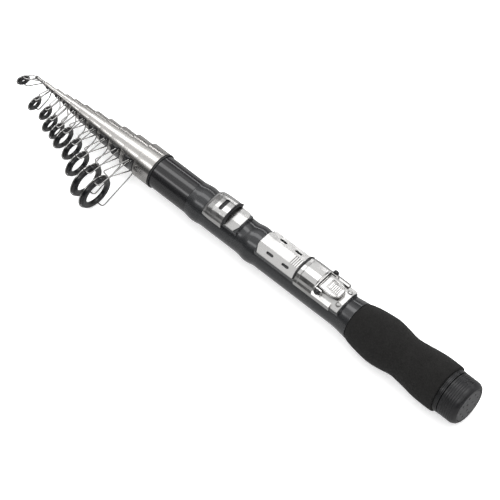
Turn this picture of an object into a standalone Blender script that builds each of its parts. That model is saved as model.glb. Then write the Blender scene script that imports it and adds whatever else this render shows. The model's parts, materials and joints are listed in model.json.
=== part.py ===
"""Telescopic travel fishing rod, closed, with an empty clip reel seat.

The rod lies along X with its tip towards -X, the reel seat faces +Z and the line guides
stand out towards -Y. Stations are distances along the rod from the front end of the
tip-top tube. Every section slides out of the next thicker one, towards -X.
"""
import math

import bmesh
import bpy
from mathutils import Matrix, Vector

MM = 0.001

# ---------------------------------------------------------------- driving dimensions
GAP = 0.3 * MM                    # between pieces that touch
GLUE = 0.1 * MM                   # radial room under a sleeve that is glued on
SLIDE_FIT = 0.08 * MM             # radial room of a section in the next one's mouth
SIDES = 20                        # facets of the blanks, sleeves and rings

# telescoping sections, thinnest first
TIP_EXPOSED = 8.2 * MM            # tip-top tube in front of the first sleeve
EXPOSED = [9.7 * MM, 8.4 * MM, 7.4 * MM, 8.5 * MM, 9.8 * MM,
           11.1 * MM, 11.2 * MM, 11.9 * MM, 13.0 * MM]
PLUG_CLEARANCE = 4.5 * MM         # from the thickest section's rear end to the cap's plug
BUTT_BORE = 20.9 * MM             # diameter of the hole that the thickest section slides in
TAPER_FIRST = 0.25 * MM           # growth in diameter from the front to the rear of the tip
TAPER_STEP = 0.07 * MM            # more for each thicker section
WALL_FIRST = 0.44 * MM            # wall of the thinnest tube
WALL_STEP = 0.06 * MM             # more for each thicker tube
GRIP_OVERLAP = 37.0 * MM          # length of two pulled-out sections that stays nested
SLEEVE_WALL_FIRST = 0.25 * MM
SLEEVE_WALL_STEP = 0.09 * MM
SLEEVE_EDGE = 0.3 * MM

# butt section
BUTT_OD = 23.8 * MM               # glossy front part
BUTT_CORE_OD = 22.3 * MM          # turned down under the seat and the grip
COLLAR_LENGTH = 12.8 * MM
COLLAR_WALL = 0.6 * MM
TRIM_LENGTH = 1.3 * MM
TRIM_PROUD = 0.1 * MM             # the trim ring stands proud of the collar
FORE_LENGTH = 45.4 * MM           # from the collar's front to the reel seat

# reel seat, its stations counted from its front edge
SEAT_LENGTH = 138.0 * MM
SEAT_SWELLINGS = [(6.5 * MM, 12.9 * MM), (52.5 * MM, 13.1 * MM)]
SEAT_RADIUS = 12.05 * MM
SEAT_REAR_RADIUS = 13.4 * MM
SEAT_FLARE = 13.0 * MM
FRONT_BLOCK = (13.4 * MM, 42.2 * MM)
REAR_BLOCK = (59.0 * MM, 129.5 * MM)
PLATE_THICKNESS = 0.8 * MM
PLATE_CREST = 3.4 * MM            # half-width of a plate's flat middle
PLATE_TOP = 14.9 * MM             # height of that flat over the rod's axis
PLATE_SLOPE = 0.358               # fall of the plate's sides
FRONT_PLATE_HALF = 8.7 * MM
TRACK_PLATE_HALF = 10.1 * MM
TRACK_LOW = 0.4 * MM              # the track is this much lower under the slider
BLOCK_SIDE = 7.0 * MM             # height at which the blocks meet the round seat

FRONT_HOOD = (14.9 * MM, 31.0 * MM)
HOOD_WALL = 0.75 * MM
LINER_WALL = 0.9 * MM
LINER_LIP = 1.3 * MM
HOOD_SLOT = (3.0 * MM, 9.5 * MM)
PLATE_SETBACK = 5.2 * MM          # from the front hood's nose to the plate under it
HOOD_FOOT = 9.2 * MM              # height of the hoods' lower edges
HOOD_SIDE = 10.9 * MM
LINER_FOOT = 13.55 * MM

SLIDER_MOUTH = 92.0 * MM
SLIDER_ARCH = 15.8 * MM           # length of the slider's arched mouth
SLIDER_LENGTH = 31.0 * MM
SLIDER_TRAVEL = 22.0 * MM
PIVOT_BEHIND_ARCH = 3.8 * MM
CAM_RADIUS = 2.1 * MM
PIN_RADIUS = 0.8 * MM
PIN_FIT = 0.2 * MM
LEVER_HALF = 6.4 * MM
LEVER_REACH = 13.6 * MM
LEVER_THICKNESS = 1.5 * MM
EAR_HALF = 7.9 * MM
RIVET_FROM_REAR = 11.4 * MM
RIVET_SIDE = 5.8 * MM

# grip and butt cap
GRIP_LENGTH = 74.0 * MM
GRIP_FRONT_RADIUS = 13.5 * MM
GRIP_BULGE_RADIUS = 16.8 * MM
GRIP_WAIST_RADIUS = 14.6 * MM
GRIP_REAR_RADIUS = 17.1 * MM
END_COLLAR_LENGTH = 3.2 * MM
END_COLLAR_RADIUS = 15.5 * MM
CAP_LENGTH = 13.7 * MM
CAP_RADIUS = 15.4 * MM
CAP_EDGE = 2.6 * MM
CAP_INLAY_RADIUS = 11.6 * MM
CAP_INLAY_DEPTH = 1.2 * MM
THREAD_LENGTH = 9.0 * MM
THREAD_WALL = 0.7 * MM
PLUG_LENGTH = 15.0 * MM

# line guides: ring diameter, distance of the ring from the rod, ring behind the sleeve's front
GUIDES = [(10.0 * MM, 15.6 * MM, 6.0 * MM), (10.0 * MM, 16.4 * MM, 7.0 * MM),
          (12.0 * MM, 20.4 * MM, 6.5 * MM), (12.0 * MM, 21.6 * MM, 6.5 * MM),
          (16.0 * MM, 22.6 * MM, 5.0 * MM), (16.0 * MM, 25.2 * MM, 5.6 * MM),
          (19.0 * MM, 31.0 * MM, 4.9 * MM), (25.0 * MM, 36.2 * MM, 6.5 * MM),
          (25.0 * MM, 39.0 * MM, 5.0 * MM)]
TIP_RING = (8.0 * MM, 7.6 * MM, -4.4 * MM)
GUIDE_DROP = math.radians(5.0)    # the guides point this far below the horizontal
GUIDE_LEAN = math.radians(5.0)    # their outer ends lean towards the tip
TIP_LEAN = math.radians(27.0)
HOOP_WIDTH = 0.8 * MM             # radial width of the metal hoop round a ring
HOOP_LENGTH = 0.8 * MM
WIRE_RADIUS = 0.45 * MM
TIP_WIRE_RADIUS = 0.4 * MM
FOOT_THICKNESS = 0.5 * MM
TIP_TUBE_RADIUS = 1.2 * MM
TIP_TUBE_LENGTH = 7.7 * MM

# ---------------------------------------------------------------- sizes that follow
SECTIONS = len(EXPOSED)


def taper(k):
    """Growth in diameter of section k, where 0 is the tip."""
    return TAPER_FIRST + TAPER_STEP * k if k <= SECTIONS else 0.0


def wall(k):
    """Wall of section k."""
    return WALL_FIRST + WALL_STEP * k


def front_diameters():
    """Front diameter of each section, worked inwards from the butt's bore."""
    found = []
    bore = BUTT_BORE
    for k in range(SECTIONS, -1, -1):
        kept = GRIP_OVERLAP / SECTION_LENGTH * min(taper(k), taper(k + 1))
        front = bore - 2 * SLIDE_FIT - taper(k) + kept
        found.insert(0, front)
        bore = front - 2 * wall(k)
    return found


FRONT_AT = [TIP_EXPOSED + sum(EXPOSED[:k]) for k in range(SECTIONS + 1)]
COLLAR_AT = FRONT_AT[SECTIONS]
SEAT_AT = COLLAR_AT + FORE_LENGTH
GRIP_AT = SEAT_AT + SEAT_LENGTH + GAP
END_COLLAR_AT = GRIP_AT + GRIP_LENGTH + GAP
CAP_AT = END_COLLAR_AT + END_COLLAR_LENGTH + GAP
BUTT_END = CAP_AT - 2 * GAP
# each sliding section; the thickest one just clears the plug of the butt cap
SECTION_LENGTH = CAP_AT - PLUG_LENGTH - PLUG_CLEARANCE - FRONT_AT[SECTIONS - 1]
FRONT_OD = front_diameters()
SLIDER_AT = SEAT_AT + SLIDER_MOUTH
PIVOT_AT = SLIDER_AT + SLIDER_ARCH + PIVOT_BEHIND_ARCH
PIVOT_HEIGHT = PLATE_TOP + GAP + CAM_RADIUS   # the cam clears the raised part too
TRACK_AT = SEAT_AT + REAR_BLOCK[0]
GROOVES = 6
GROOVE_PITCH = 1.5 * MM
GROOVES_AT = SLIDER_AT - 0.9 * MM - (GROOVES - 1) * GROOVE_PITCH
BED_AT = (TRACK_AT + GROOVES_AT) / 2

# the origin is the middle of the flat that a reel's foot rests on
ROD = Matrix.Translation((-BED_AT, 0.0, -PLATE_TOP))
ALONG = Matrix.Rotation(math.pi / 2, 4, 'Y')
OUTWARD = Vector((0.0, -math.cos(GUIDE_DROP), -math.sin(GUIDE_DROP)))
SIDEWAYS = Vector((0.0, -math.sin(GUIDE_DROP), math.cos(GUIDE_DROP)))

# ---------------------------------------------------------------- scene and materials
for old in list(bpy.data.objects):
    bpy.data.objects.remove(old)

PARTS = bpy.data.collections.new("telescopic_fishing_rod")
CUTTERS = bpy.data.collections.new("cutters")
bpy.context.scene.collection.children.link(PARTS)
bpy.context.scene.collection.children.link(CUTTERS)

FINISHES = {
    "polished_silver": ((0.80, 0.79, 0.78), 0.16, 1.0),
    "satin_silver": ((0.72, 0.72, 0.71), 0.32, 1.0),
    "bright_steel": ((0.66, 0.66, 0.65), 0.20, 1.0),
    "glossy_black": ((0.012, 0.012, 0.013), 0.15, 0.0),
    "blank_black": ((0.03, 0.03, 0.032), 0.35, 0.0),
    "gunmetal": ((0.05, 0.052, 0.055), 0.22, 0.6),
    "liner_black": ((0.015, 0.015, 0.016), 0.6, 0.0),
    "ring_black": ((0.01, 0.01, 0.011), 0.12, 0.0),
    "foam_black": ((0.02, 0.02, 0.019), 0.9, 0.0),
    "cap_black": ((0.025, 0.025, 0.026), 0.45, 0.0),
    "inlay_grey": ((0.07, 0.07, 0.072), 0.5, 0.0),
}


def finish(name, piece):
    """A Principled material of a piece's own, in one of the finishes."""
    colour, roughness, metallic = FINISHES[name]
    made = bpy.data.materials.new(piece + "_" + name)
    made.use_nodes = True
    shader = made.node_tree.nodes["Principled BSDF"]
    shader.inputs["Base Color"].default_value = (*colour, 1.0)
    shader.inputs["Roughness"].default_value = roughness
    shader.inputs["Metallic"].default_value = metallic
    return made


def empty(name, parent, place):
    """An empty on a joint's axis, which carries the pieces that move together."""
    made = bpy.data.objects.new(name, None)
    made.empty_display_size = 5 * MM
    PARTS.objects.link(made)
    made.parent = parent
    bpy.context.view_layer.update()
    made.matrix_world = ROD @ place
    bpy.context.view_layer.update()
    return made


def add(name, mesh, look, parent, place):
    """Links a mesh as a named piece, at a place given in rod stations."""
    made = bpy.data.objects.new(name, mesh)
    PARTS.objects.link(made)
    mesh.materials.append(finish(look, name))
    made.parent = parent
    made.matrix_world = ROD @ place
    return made


def tool(name, mesh, place):
    """Links a mesh as a hidden shape for a Boolean."""
    made = bpy.data.objects.new(name, mesh)
    CUTTERS.objects.link(made)
    made.matrix_world = ROD @ place
    made.hide_render = True
    made.display_type = 'WIRE'
    return made


def combine(piece, other, operation):
    """Joins another shape to a piece, cuts it away, or keeps only what they share."""
    change = piece.modifiers.new(operation.lower() + "_" + other.name, 'BOOLEAN')
    change.operation = operation
    change.solver = 'EXACT'
    change.object = other


# ---------------------------------------------------------------- shape makers
def profile_mesh(name, points, closed):
    """Mesh of edges through (radius, station) points, for a Screw about local Z."""
    made = bpy.data.meshes.new(name)
    edges = [(i, i + 1) for i in range(len(points) - 1)]
    if closed:
        edges.append((len(points) - 1, 0))
    made.from_pydata([(radius, 0.0, station) for radius, station in points], edges, [])
    return made


def turn(piece, sides):
    """Turns a profile round local Z and shades it smooth."""
    change = piece.modifiers.new("turned", 'SCREW')
    change.axis = 'Z'
    change.steps = sides
    change.render_steps = sides
    change.use_merge_vertices = True
    change.merge_threshold = 0.00001
    change.use_smooth_shade = True
    return change


def tube_points(outer, inner):
    """Closed profile of a tube from its outer and inner (station, radius) lists.

    The lists run from the front to the rear. The profile goes down the outer side from
    the top, so the outer list is taken backwards and the inner one forwards.
    """
    return [(r, s) for s, r in reversed(outer)] + [(r, s) for s, r in inner]


def solid_points(outer):
    """Open profile of a solid turned piece, ending on the axis at both ends."""
    first, last = outer[0][0], outer[-1][0]
    return [(0.0, last)] + [(r, s) for s, r in reversed(outer)] + [(0.0, first)]


def tube(name, outer, inner, look, parent, front, sides=SIDES):
    """A turned tube along the rod, with its origin on the rod's axis at its front."""
    mesh = profile_mesh(name, tube_points(outer, inner), True)
    made = add(name, mesh, look, parent, Matrix.Translation((front, 0, 0)) @ ALONG)
    turn(made, sides)
    return made


def solid(name, outer, look, parent, front, sides=SIDES):
    """A turned piece without a bore."""
    mesh = profile_mesh(name, solid_points(outer), False)
    made = add(name, mesh, look, parent, Matrix.Translation((front, 0, 0)) @ ALONG)
    turn(made, sides)
    return made


def box_mesh(name, low, high):
    """A box between two corners."""
    work = bmesh.new()
    bmesh.ops.create_cube(work, size=1.0)
    middle = (Vector(low) + Vector(high)) / 2
    span = Vector(high) - Vector(low)
    bmesh.ops.scale(work, vec=span, verts=work.verts)
    bmesh.ops.translate(work, vec=middle, verts=work.verts)
    made = bpy.data.meshes.new(name)
    work.to_mesh(made)
    work.free()
    return made


def rod_mesh(name, radius, length, sides):
    """A cylinder about local Z, centred on the origin."""
    work = bmesh.new()
    bmesh.ops.create_cone(work, cap_ends=True, segments=sides, radius1=radius,
                          radius2=radius, depth=length)
    made = bpy.data.meshes.new(name)
    work.to_mesh(made)
    work.free()
    return made


def curve_to_mesh(name, curve):
    """Takes a curve object's shape as a closed mesh and removes the curve."""
    holder = bpy.data.objects.new(name, curve)
    CUTTERS.objects.link(holder)
    bpy.context.view_layer.update()
    ready = holder.evaluated_get(bpy.context.evaluated_depsgraph_get())
    made = bpy.data.meshes.new_from_object(ready)
    work = bmesh.new()
    work.from_mesh(made)
    bmesh.ops.remove_doubles(work, verts=work.verts, dist=0.00001)
    bmesh.ops.recalc_face_normals(work, faces=work.faces)
    work.to_mesh(made)
    work.free()
    made.name = name
    bpy.data.objects.remove(holder)
    bpy.data.curves.remove(curve)
    return made


def prism_mesh(name, outline, thickness):
    """A flat outline in local XY, filled and extruded to a thickness along local Z."""
    curve = bpy.data.curves.new(name, 'CURVE')
    curve.dimensions = '2D'
    curve.fill_mode = 'BOTH'
    curve.extrude = thickness / 2
    line = curve.splines.new('POLY')
    line.points.add(len(outline) - 1)
    for point, (x, y) in zip(line.points, outline):
        point.co = (x, y, 0.0, 1.0)
    line.use_cyclic_u = True
    return curve_to_mesh(name, curve)


def wire_mesh(name, path, radius):
    """A round wire through a list of points."""
    curve = bpy.data.curves.new(name, 'CURVE')
    curve.dimensions = '3D'
    curve.bevel_depth = radius
    curve.bevel_resolution = 1
    curve.use_fill_caps = True
    line = curve.splines.new('POLY')
    line.points.add(len(path) - 1)
    for point, place in zip(line.points, path):
        point.co = (*place, 1.0)
    return curve_to_mesh(name, curve)


def shell_mesh(name, sections):
    """An open arched surface lofted through half sections.

    Each section is (station, half outline), and the outline runs from the foot of the
    +Y side up to the crown at y = 0. The other half is its mirror image.
    """
    made = bpy.data.meshes.new(name)
    points = []
    for station, half in sections:
        whole = list(half) + [(-y, z) for y, z in reversed(half[:-1])]
        points += [(station, y, z) for y, z in whole]
    row = 2 * len(sections[0][1]) - 1
    faces = []
    for i in range(len(sections) - 1):
        for j in range(row - 1):
            a = i * row + j
            faces.append((a, a + 1, a + row + 1, a + row))
    made.from_pydata(points, [], faces)
    return made


def thicken(piece, thickness):
    """Gives a shell its wall, inwards."""
    change = piece.modifiers.new("wall", 'SOLIDIFY')
    change.thickness = thickness
    change.offset = -1.0
    change.use_even_offset = True
    return change


def rounded_slot(length, width, steps=3):
    """Outline of a slot with round ends, along local X."""
    radius = width / 2
    reach = length / 2 - radius
    points = []
    for side in (0, 1):
        for i in range(steps + 1):
            angle = math.pi * (side - 0.5) + math.pi * i / steps
            centre = reach if side == 0 else -reach
            points.append((centre + radius * math.cos(angle), radius * math.sin(angle)))
    return points


# ---------------------------------------------------------------- sections of the rod
rod_axis = empty("rod_axis", None, Matrix.Identity(4))
section_axis = [empty("tip_slide", rod_axis, Matrix.Identity(4))]
for number in range(1, SECTIONS + 1):
    at_front = Matrix.Translation((FRONT_AT[number - 1], 0, 0))
    section_axis.append(empty("section_%d_slide" % number, rod_axis, at_front))


def sleeve_wall(k):
    """Wall of the silver sleeve on section k."""
    return SLEEVE_WALL_FIRST + SLEEVE_WALL_STEP * k


def sleeve_bore(k):
    """Bore radius of the sleeve on section k."""
    return FRONT_OD[k] / 2 + taper(k) * EXPOSED[k - 1] / SECTION_LENGTH / 2 + GLUE


def make_section(k):
    """Sliding section k: a tapered tube with a polished sleeve glued on its front."""
    parent = section_axis[k]
    front = FRONT_AT[k - 1]
    outer = [(0.0, FRONT_OD[k] / 2), (SECTION_LENGTH, (FRONT_OD[k] + taper(k)) / 2)]
    inner = [(station, radius - wall(k)) for station, radius in outer]
    tube("section_%d_blank" % k, outer, inner, "blank_black", parent, front + GAP)
    length = EXPOSED[k - 1] - GAP
    bore = sleeve_bore(k)
    radius = bore + sleeve_wall(k)
    edge = min(SLEEVE_EDGE, sleeve_wall(k) * 0.6)
    skin = [(0.0, radius - edge), (edge, radius), (length, radius)]
    tube("section_%d_sleeve" % k, skin, [(0.0, bore), (length, bore)],
         "polished_silver", parent, front)


def make_tip():
    """The solid tip, which slides out of section 1."""
    outer = [(0.0, FRONT_OD[0] / 2), (SECTION_LENGTH, (FRONT_OD[0] + taper(0)) / 2)]
    solid("tip_blank", outer, "blank_black", section_axis[0], GAP)


# ---------------------------------------------------------------- line guides
def guide_point(station, out, side):
    """A point given by its station, its distance outwards and its distance sideways."""
    return Vector((station, 0, 0)) + OUTWARD * out + SIDEWAYS * side


def ring_place(station, out, lean):
    """Place of a ring: local X outwards, local Z along the ring's own axis."""
    across = OUTWARD * math.cos(lean) - Vector((1, 0, 0)) * math.sin(lean)
    normal = Vector((1, 0, 0)) * math.cos(lean) + OUTWARD * math.sin(lean)
    third = normal.cross(across)
    place = Matrix((across, third, normal)).transposed().to_4x4()
    return Matrix.Translation(guide_point(station, out, 0.0)) @ place


def ring_width(size):
    """Radial width of the ceramic in a ring of this diameter."""
    return 1.9 * MM + 0.09 * size


def ring_length(size):
    """Length of the ceramic along its axis."""
    return 1.7 * MM + 0.07 * size


def hoop_front(size):
    """Place of the hoop's tip side along the ring's axis, just behind the ring's own."""
    return 0.25 * MM - ring_length(size) / 2


def make_ring(name, size, parent, place):
    """A black ceramic ring with rounded lips."""
    outer_radius = size / 2 - GLUE
    inner_radius = size / 2 - ring_width(size)
    half = ring_length(size) / 2
    lip = 0.3 * ring_width(size)
    outer = [(-half, outer_radius - lip), (half, outer_radius - lip)]
    flat = [(-half * 0.8, outer_radius), (half * 0.5, outer_radius)]
    inner = [(-half * 0.4, inner_radius), (half * 0.4, inner_radius)]
    points = tube_points([outer[0]] + flat + [outer[1]], inner)
    made = add(name, profile_mesh(name, points, True), "ring_black", parent, place)
    turn(made, SIDES)


def make_hoop(name, size, parent, place):
    """The flat metal hoop that the ceramic ring is pressed into."""
    inner_radius = size / 2
    outer_radius = inner_radius + HOOP_WIDTH
    low = hoop_front(size)
    high = low + HOOP_LENGTH
    points = tube_points([(low, outer_radius), (high, outer_radius)],
                         [(low, inner_radius), (high, inner_radius)])
    made = add(name, profile_mesh(name, points, True), "bright_steel", parent, place)
    turn(made, SIDES)
    return made


def hoop_point(place, size, angle, depth=1.05):
    """A point in the hoop's metal, at an angle from its outermost point."""
    radius = size / 2 + HOOP_WIDTH * depth
    local = Vector((radius * math.cos(angle), -radius * math.sin(angle),
                    hoop_front(size) + HOOP_LENGTH / 2))
    return place @ local


def foot_mesh(name, radius, length, half_angle, steps=4):
    """A saddle plate that hugs the underside of a sleeve."""
    outline = []
    inner = radius / math.cos(half_angle / steps)
    for r, order in ((inner + FOOT_THICKNESS, 1), (inner, -1)):
        for i in range(steps + 1):
            angle = half_angle * (2 * i / steps - 1) * order
            outline.append((r * math.cos(angle), r * math.sin(angle)))
    return prism_mesh(name, outline, length)


def make_guide(k):
    """Line guide k: hoop, two front wires, two rear legs and a foot, and the ceramic ring."""
    size, out, behind = GUIDES[k - 1]
    parent = section_axis[k]
    front = FRONT_AT[k - 1]
    station = front + behind
    place = ring_place(station, out, GUIDE_LEAN)
    name = "guide_%d" % k
    frame = make_hoop(name + "_frame", size, parent, place)
    make_ring(name + "_ring", size, parent, place)

    sleeve_radius = sleeve_bore(k) + sleeve_wall(k)
    foot_radius = sleeve_radius + GLUE
    foot_length = EXPOSED[k - 1] * 0.62
    foot_middle = front + EXPOSED[k - 1] * 0.58
    half_angle = math.radians(44)
    turned = Matrix((OUTWARD, SIDEWAYS, Vector((1, 0, 0)))).transposed().to_4x4()
    at_foot = Matrix.Translation((foot_middle, 0, 0)) @ turned
    mesh = foot_mesh(name + "_foot", foot_radius, foot_length, half_angle)
    combine(frame, tool(name + "_foot", mesh, at_foot), 'UNION')

    hoop_radius = size / 2 + HOOP_WIDTH
    reach = 0.36 * hoop_radius
    middle = foot_radius + FOOT_THICKNESS / 2
    root_angle = math.radians(36)
    root_out = middle * math.cos(root_angle)
    root_side = middle * math.sin(root_angle)
    crown = out - hoop_radius
    rear = foot_middle + foot_length * 0.30
    fore = foot_middle + foot_length * 0.05
    for sign, hand in ((1, "left"), (-1, "right")):
        landing = hoop_point(place, size, math.pi - sign * math.radians(24))
        bend = guide_point(station - reach, crown + 0.2 * MM, sign * 0.34 * hoop_radius)
        path = [guide_point(fore, root_out, sign * root_side),
                guide_point(fore, root_out + 0.6 * MM, sign * root_side), bend, landing]
        mesh = wire_mesh("%s_front_%s" % (name, hand), path, WIRE_RADIUS)
        combine(frame, tool("%s_front_%s" % (name, hand), mesh, Matrix.Identity(4)), 'UNION')

        spread = sign * max(0.70 * hoop_radius, root_side + WIRE_RADIUS)
        side = hoop_point(place, size, sign * math.pi / 2)
        kink = guide_point(station + reach, out, sign * hoop_radius)
        shoulder = max(root_out, crown * 0.36) + 1.0 * MM
        path = [guide_point(rear, root_out, sign * root_side),
                guide_point(rear + 0.3 * MM, root_out + 0.7 * MM, sign * (root_side + 0.2 * MM)),
                guide_point(station + reach, shoulder + 0.8 * MM, spread), kink, side]
        mesh = wire_mesh("%s_rear_%s" % (name, hand), path, WIRE_RADIUS)
        combine(frame, tool("%s_rear_%s" % (name, hand), mesh, Matrix.Identity(4)), 'UNION')


def make_tip_top():
    """Tip-top: a tube on the tip, with the hoop ahead of it on four short wires."""
    size, out, station = TIP_RING
    parent = section_axis[0]
    place = ring_place(station, out, TIP_LEAN)
    make_ring("tip_top_ring", size, parent, place)
    bore = FRONT_OD[0] / 2 + taper(0) * TIP_TUBE_LENGTH / SECTION_LENGTH + GLUE
    frame = tube("tip_top_frame", [(0.0, TIP_TUBE_RADIUS), (TIP_TUBE_LENGTH, TIP_TUBE_RADIUS)],
                 [(0.0, bore), (TIP_TUBE_LENGTH, bore)], "bright_steel", parent, 0.0)
    inner_radius = size / 2
    low = hoop_front(size)
    high = low + HOOP_LENGTH
    points = tube_points([(low, inner_radius + HOOP_WIDTH), (high, inner_radius + HOOP_WIDTH)],
                         [(low, inner_radius), (high, inner_radius)])
    hoop = tool("tip_top_hoop", profile_mesh("tip_top_hoop", points, True), place)
    turn(hoop, SIDES)
    combine(frame, hoop, 'UNION')
    for sign, hand in ((1, "left"), (-1, "right")):
        crown = hoop_point(place, size, math.pi - sign * math.radians(35))
        path = [guide_point(1.4 * MM, 0.1 * MM, sign * TIP_TUBE_RADIUS),
                guide_point(-1.6 * MM, 1.4 * MM, sign * 2.3 * MM), crown]
        mesh = wire_mesh("tip_top_front_" + hand, path, TIP_WIRE_RADIUS)
        combine(frame, tool("tip_top_front_" + hand, mesh, Matrix.Identity(4)), 'UNION')
        side = hoop_point(place, size, sign * math.pi / 2)
        path = [guide_point(TIP_TUBE_LENGTH - 1.2 * MM, 0.2 * MM, sign * TIP_TUBE_RADIUS),
                guide_point(side.x + 2.6 * MM, out, sign * (size / 2 + 0.75 * MM)), side]
        mesh = wire_mesh("tip_top_rear_" + hand, path, TIP_WIRE_RADIUS)
        combine(frame, tool("tip_top_rear_" + hand, mesh, Matrix.Identity(4)), 'UNION')


# ---------------------------------------------------------------- butt section
def make_butt():
    """Butt tube with its silver mouth collar, the trim ring and the thread insert."""
    bore = BUTT_BORE / 2
    core = BUTT_CORE_OD / 2
    length = BUTT_END - COLLAR_AT - GAP
    fore = FORE_LENGTH - 2 * GAP
    outer = [(0.0, BUTT_OD / 2), (fore, BUTT_OD / 2), (fore, core), (length, core)]
    tube("butt_blank", outer, [(0.0, bore), (length, bore)], "glossy_black", rod_axis,
         COLLAR_AT + GAP)
    fit = BUTT_OD / 2 + GLUE
    radius = fit + COLLAR_WALL
    skin = [(0.0, radius - SLEEVE_EDGE), (SLEEVE_EDGE, radius), (COLLAR_LENGTH, radius)]
    tube("mouth_collar", skin, [(0.0, fit), (COLLAR_LENGTH, fit)], "polished_silver",
         rod_axis, COLLAR_AT)
    proud = radius + TRIM_PROUD
    skin = [(0.0, proud - 0.3 * MM), (TRIM_LENGTH / 2, proud), (TRIM_LENGTH, proud - 0.3 * MM)]
    tube("collar_trim_ring", skin, [(0.0, fit), (TRIM_LENGTH, fit)], "liner_black",
         rod_axis, COLLAR_AT + COLLAR_LENGTH + GAP)
    outside = bore - GLUE
    inside = outside - THREAD_WALL
    front = BUTT_END - PLUG_LENGTH - GAP
    tube("butt_thread_insert", [(0.0, outside), (THREAD_LENGTH, outside)],
         [(0.0, inside), (THREAD_LENGTH, inside)], "satin_silver", rod_axis, front)


# ---------------------------------------------------------------- reel seat
def plate_section(half, top, thickness):
    """Outline across a plate: a flat crest with sloping sides. Local X is height."""
    fall = (half - PLATE_CREST) * PLATE_SLOPE
    upper = [(top - fall, -half), (top, -PLATE_CREST), (top, PLATE_CREST), (top - fall, half)]
    lower = [(x - thickness, y) for x, y in reversed(upper)]
    return upper + lower


def along_rod(station, length):
    """Place of a prism whose outline is (height, y) and whose thickness runs along X."""
    up = Matrix(((0.0, 0.0, 1.0, 0.0), (0.0, 1.0, 0.0, 0.0), (1.0, 0.0, 0.0, 0.0),
                 (0.0, 0.0, 0.0, 1.0)))
    mirror = Matrix.Scale(-1, 4, (0, 1, 0))
    return Matrix.Translation((station + length / 2, 0, 0)) @ up @ mirror


def seat_profile():
    """Outer (station, radius) list of the seat: two swellings and a flared rear end."""
    points = [(0.0, SEAT_RADIUS + 0.1 * MM)]
    for middle, radius in SEAT_SWELLINGS:
        for share, rise in ((-5.5, 0.25), (-2.5, 0.8), (0.0, 1.0), (3.0, 0.7), (7.0, 0.0)):
            height = SEAT_RADIUS + (radius - SEAT_RADIUS) * rise
            points.append((middle + share * MM, height))
    points.append((SEAT_LENGTH - SEAT_FLARE, SEAT_RADIUS))
    points.append((SEAT_LENGTH - SEAT_FLARE * 0.35, SEAT_RADIUS * 0.45 + SEAT_REAR_RADIUS * 0.55))
    points.append((SEAT_LENGTH, SEAT_REAR_RADIUS))
    return points


def make_seat_body():
    """Seat body: a turned skin with two flat-topped blocks, bored for the butt tube."""
    seat = solid("reel_seat", seat_profile(), "gunmetal", rod_axis, SEAT_AT, 28)
    for name, span, half in (("front_block", FRONT_BLOCK, FRONT_PLATE_HALF - 0.2 * MM),
                             ("rear_block", REAR_BLOCK, TRACK_PLATE_HALF - 0.3 * MM)):
        top = PLATE_TOP - PLATE_THICKNESS - GAP
        if name == "rear_block":
            top -= TRACK_LOW
        fall = (half - PLATE_CREST) * PLATE_SLOPE
        outline = [(BLOCK_SIDE, -half), (top - fall, -half), (top, -PLATE_CREST),
                   (top, PLATE_CREST), (top - fall, half), (BLOCK_SIDE, half)]
        mesh = prism_mesh(name, outline, span[1] - span[0])
        block = tool(name, mesh, along_rod(SEAT_AT + span[0], span[1] - span[0]))
        combine(seat, block, 'UNION')
    bore = rod_mesh("seat_bore", BUTT_CORE_OD / 2 + GLUE, SEAT_LENGTH * 2, SIDES)
    # the bore's facets lie over the blank's, which start at local -Z
    place = Matrix.Translation((SEAT_AT + SEAT_LENGTH / 2, 0, 0)) @ ALONG
    combine(seat, tool("seat_bore", bore, place), 'DIFFERENCE')


def make_plate(name, half, front, length, nose):
    """A bent metal plate with chamfered ends, along the top of the seat."""
    mesh = prism_mesh(name, plate_section(half, PLATE_TOP, PLATE_THICKNESS), length)
    plate = add(name, mesh, "satin_silver", rod_axis, along_rod(front, length))
    cut = 0.45 * half
    low, high = front - 1 * MM, front + length + 1 * MM
    outline = [(front + 0.01 * MM, -half + cut), (front + nose, -half - 1 * MM),
               (high, -half - 1 * MM), (high, half + 1 * MM), (front + nose, half + 1 * MM),
               (front + 0.01 * MM, half - cut)]
    if nose < 0:
        rear = front + length - 0.01 * MM
        outline = [(low, -half - 1 * MM), (rear + nose, -half - 1 * MM), (rear, -half + cut),
                   (rear, half - cut), (rear + nose, half + 1 * MM), (low, half + 1 * MM)]
    plan = tool(name + "_plan", prism_mesh(name + "_plan", outline, 20 * MM),
                Matrix.Translation((0, 0, PLATE_TOP)))
    combine(plate, plan, 'INTERSECT')
    return plate


def cut_slot(piece, name, station, side, length, width):
    """Cuts a round-ended slot straight down through a plate."""
    mesh = prism_mesh(name, rounded_slot(length, width), 12 * MM)
    combine(piece, tool(name, mesh, Matrix.Translation((station, side, PLATE_TOP))), 'DIFFERENCE')


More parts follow.
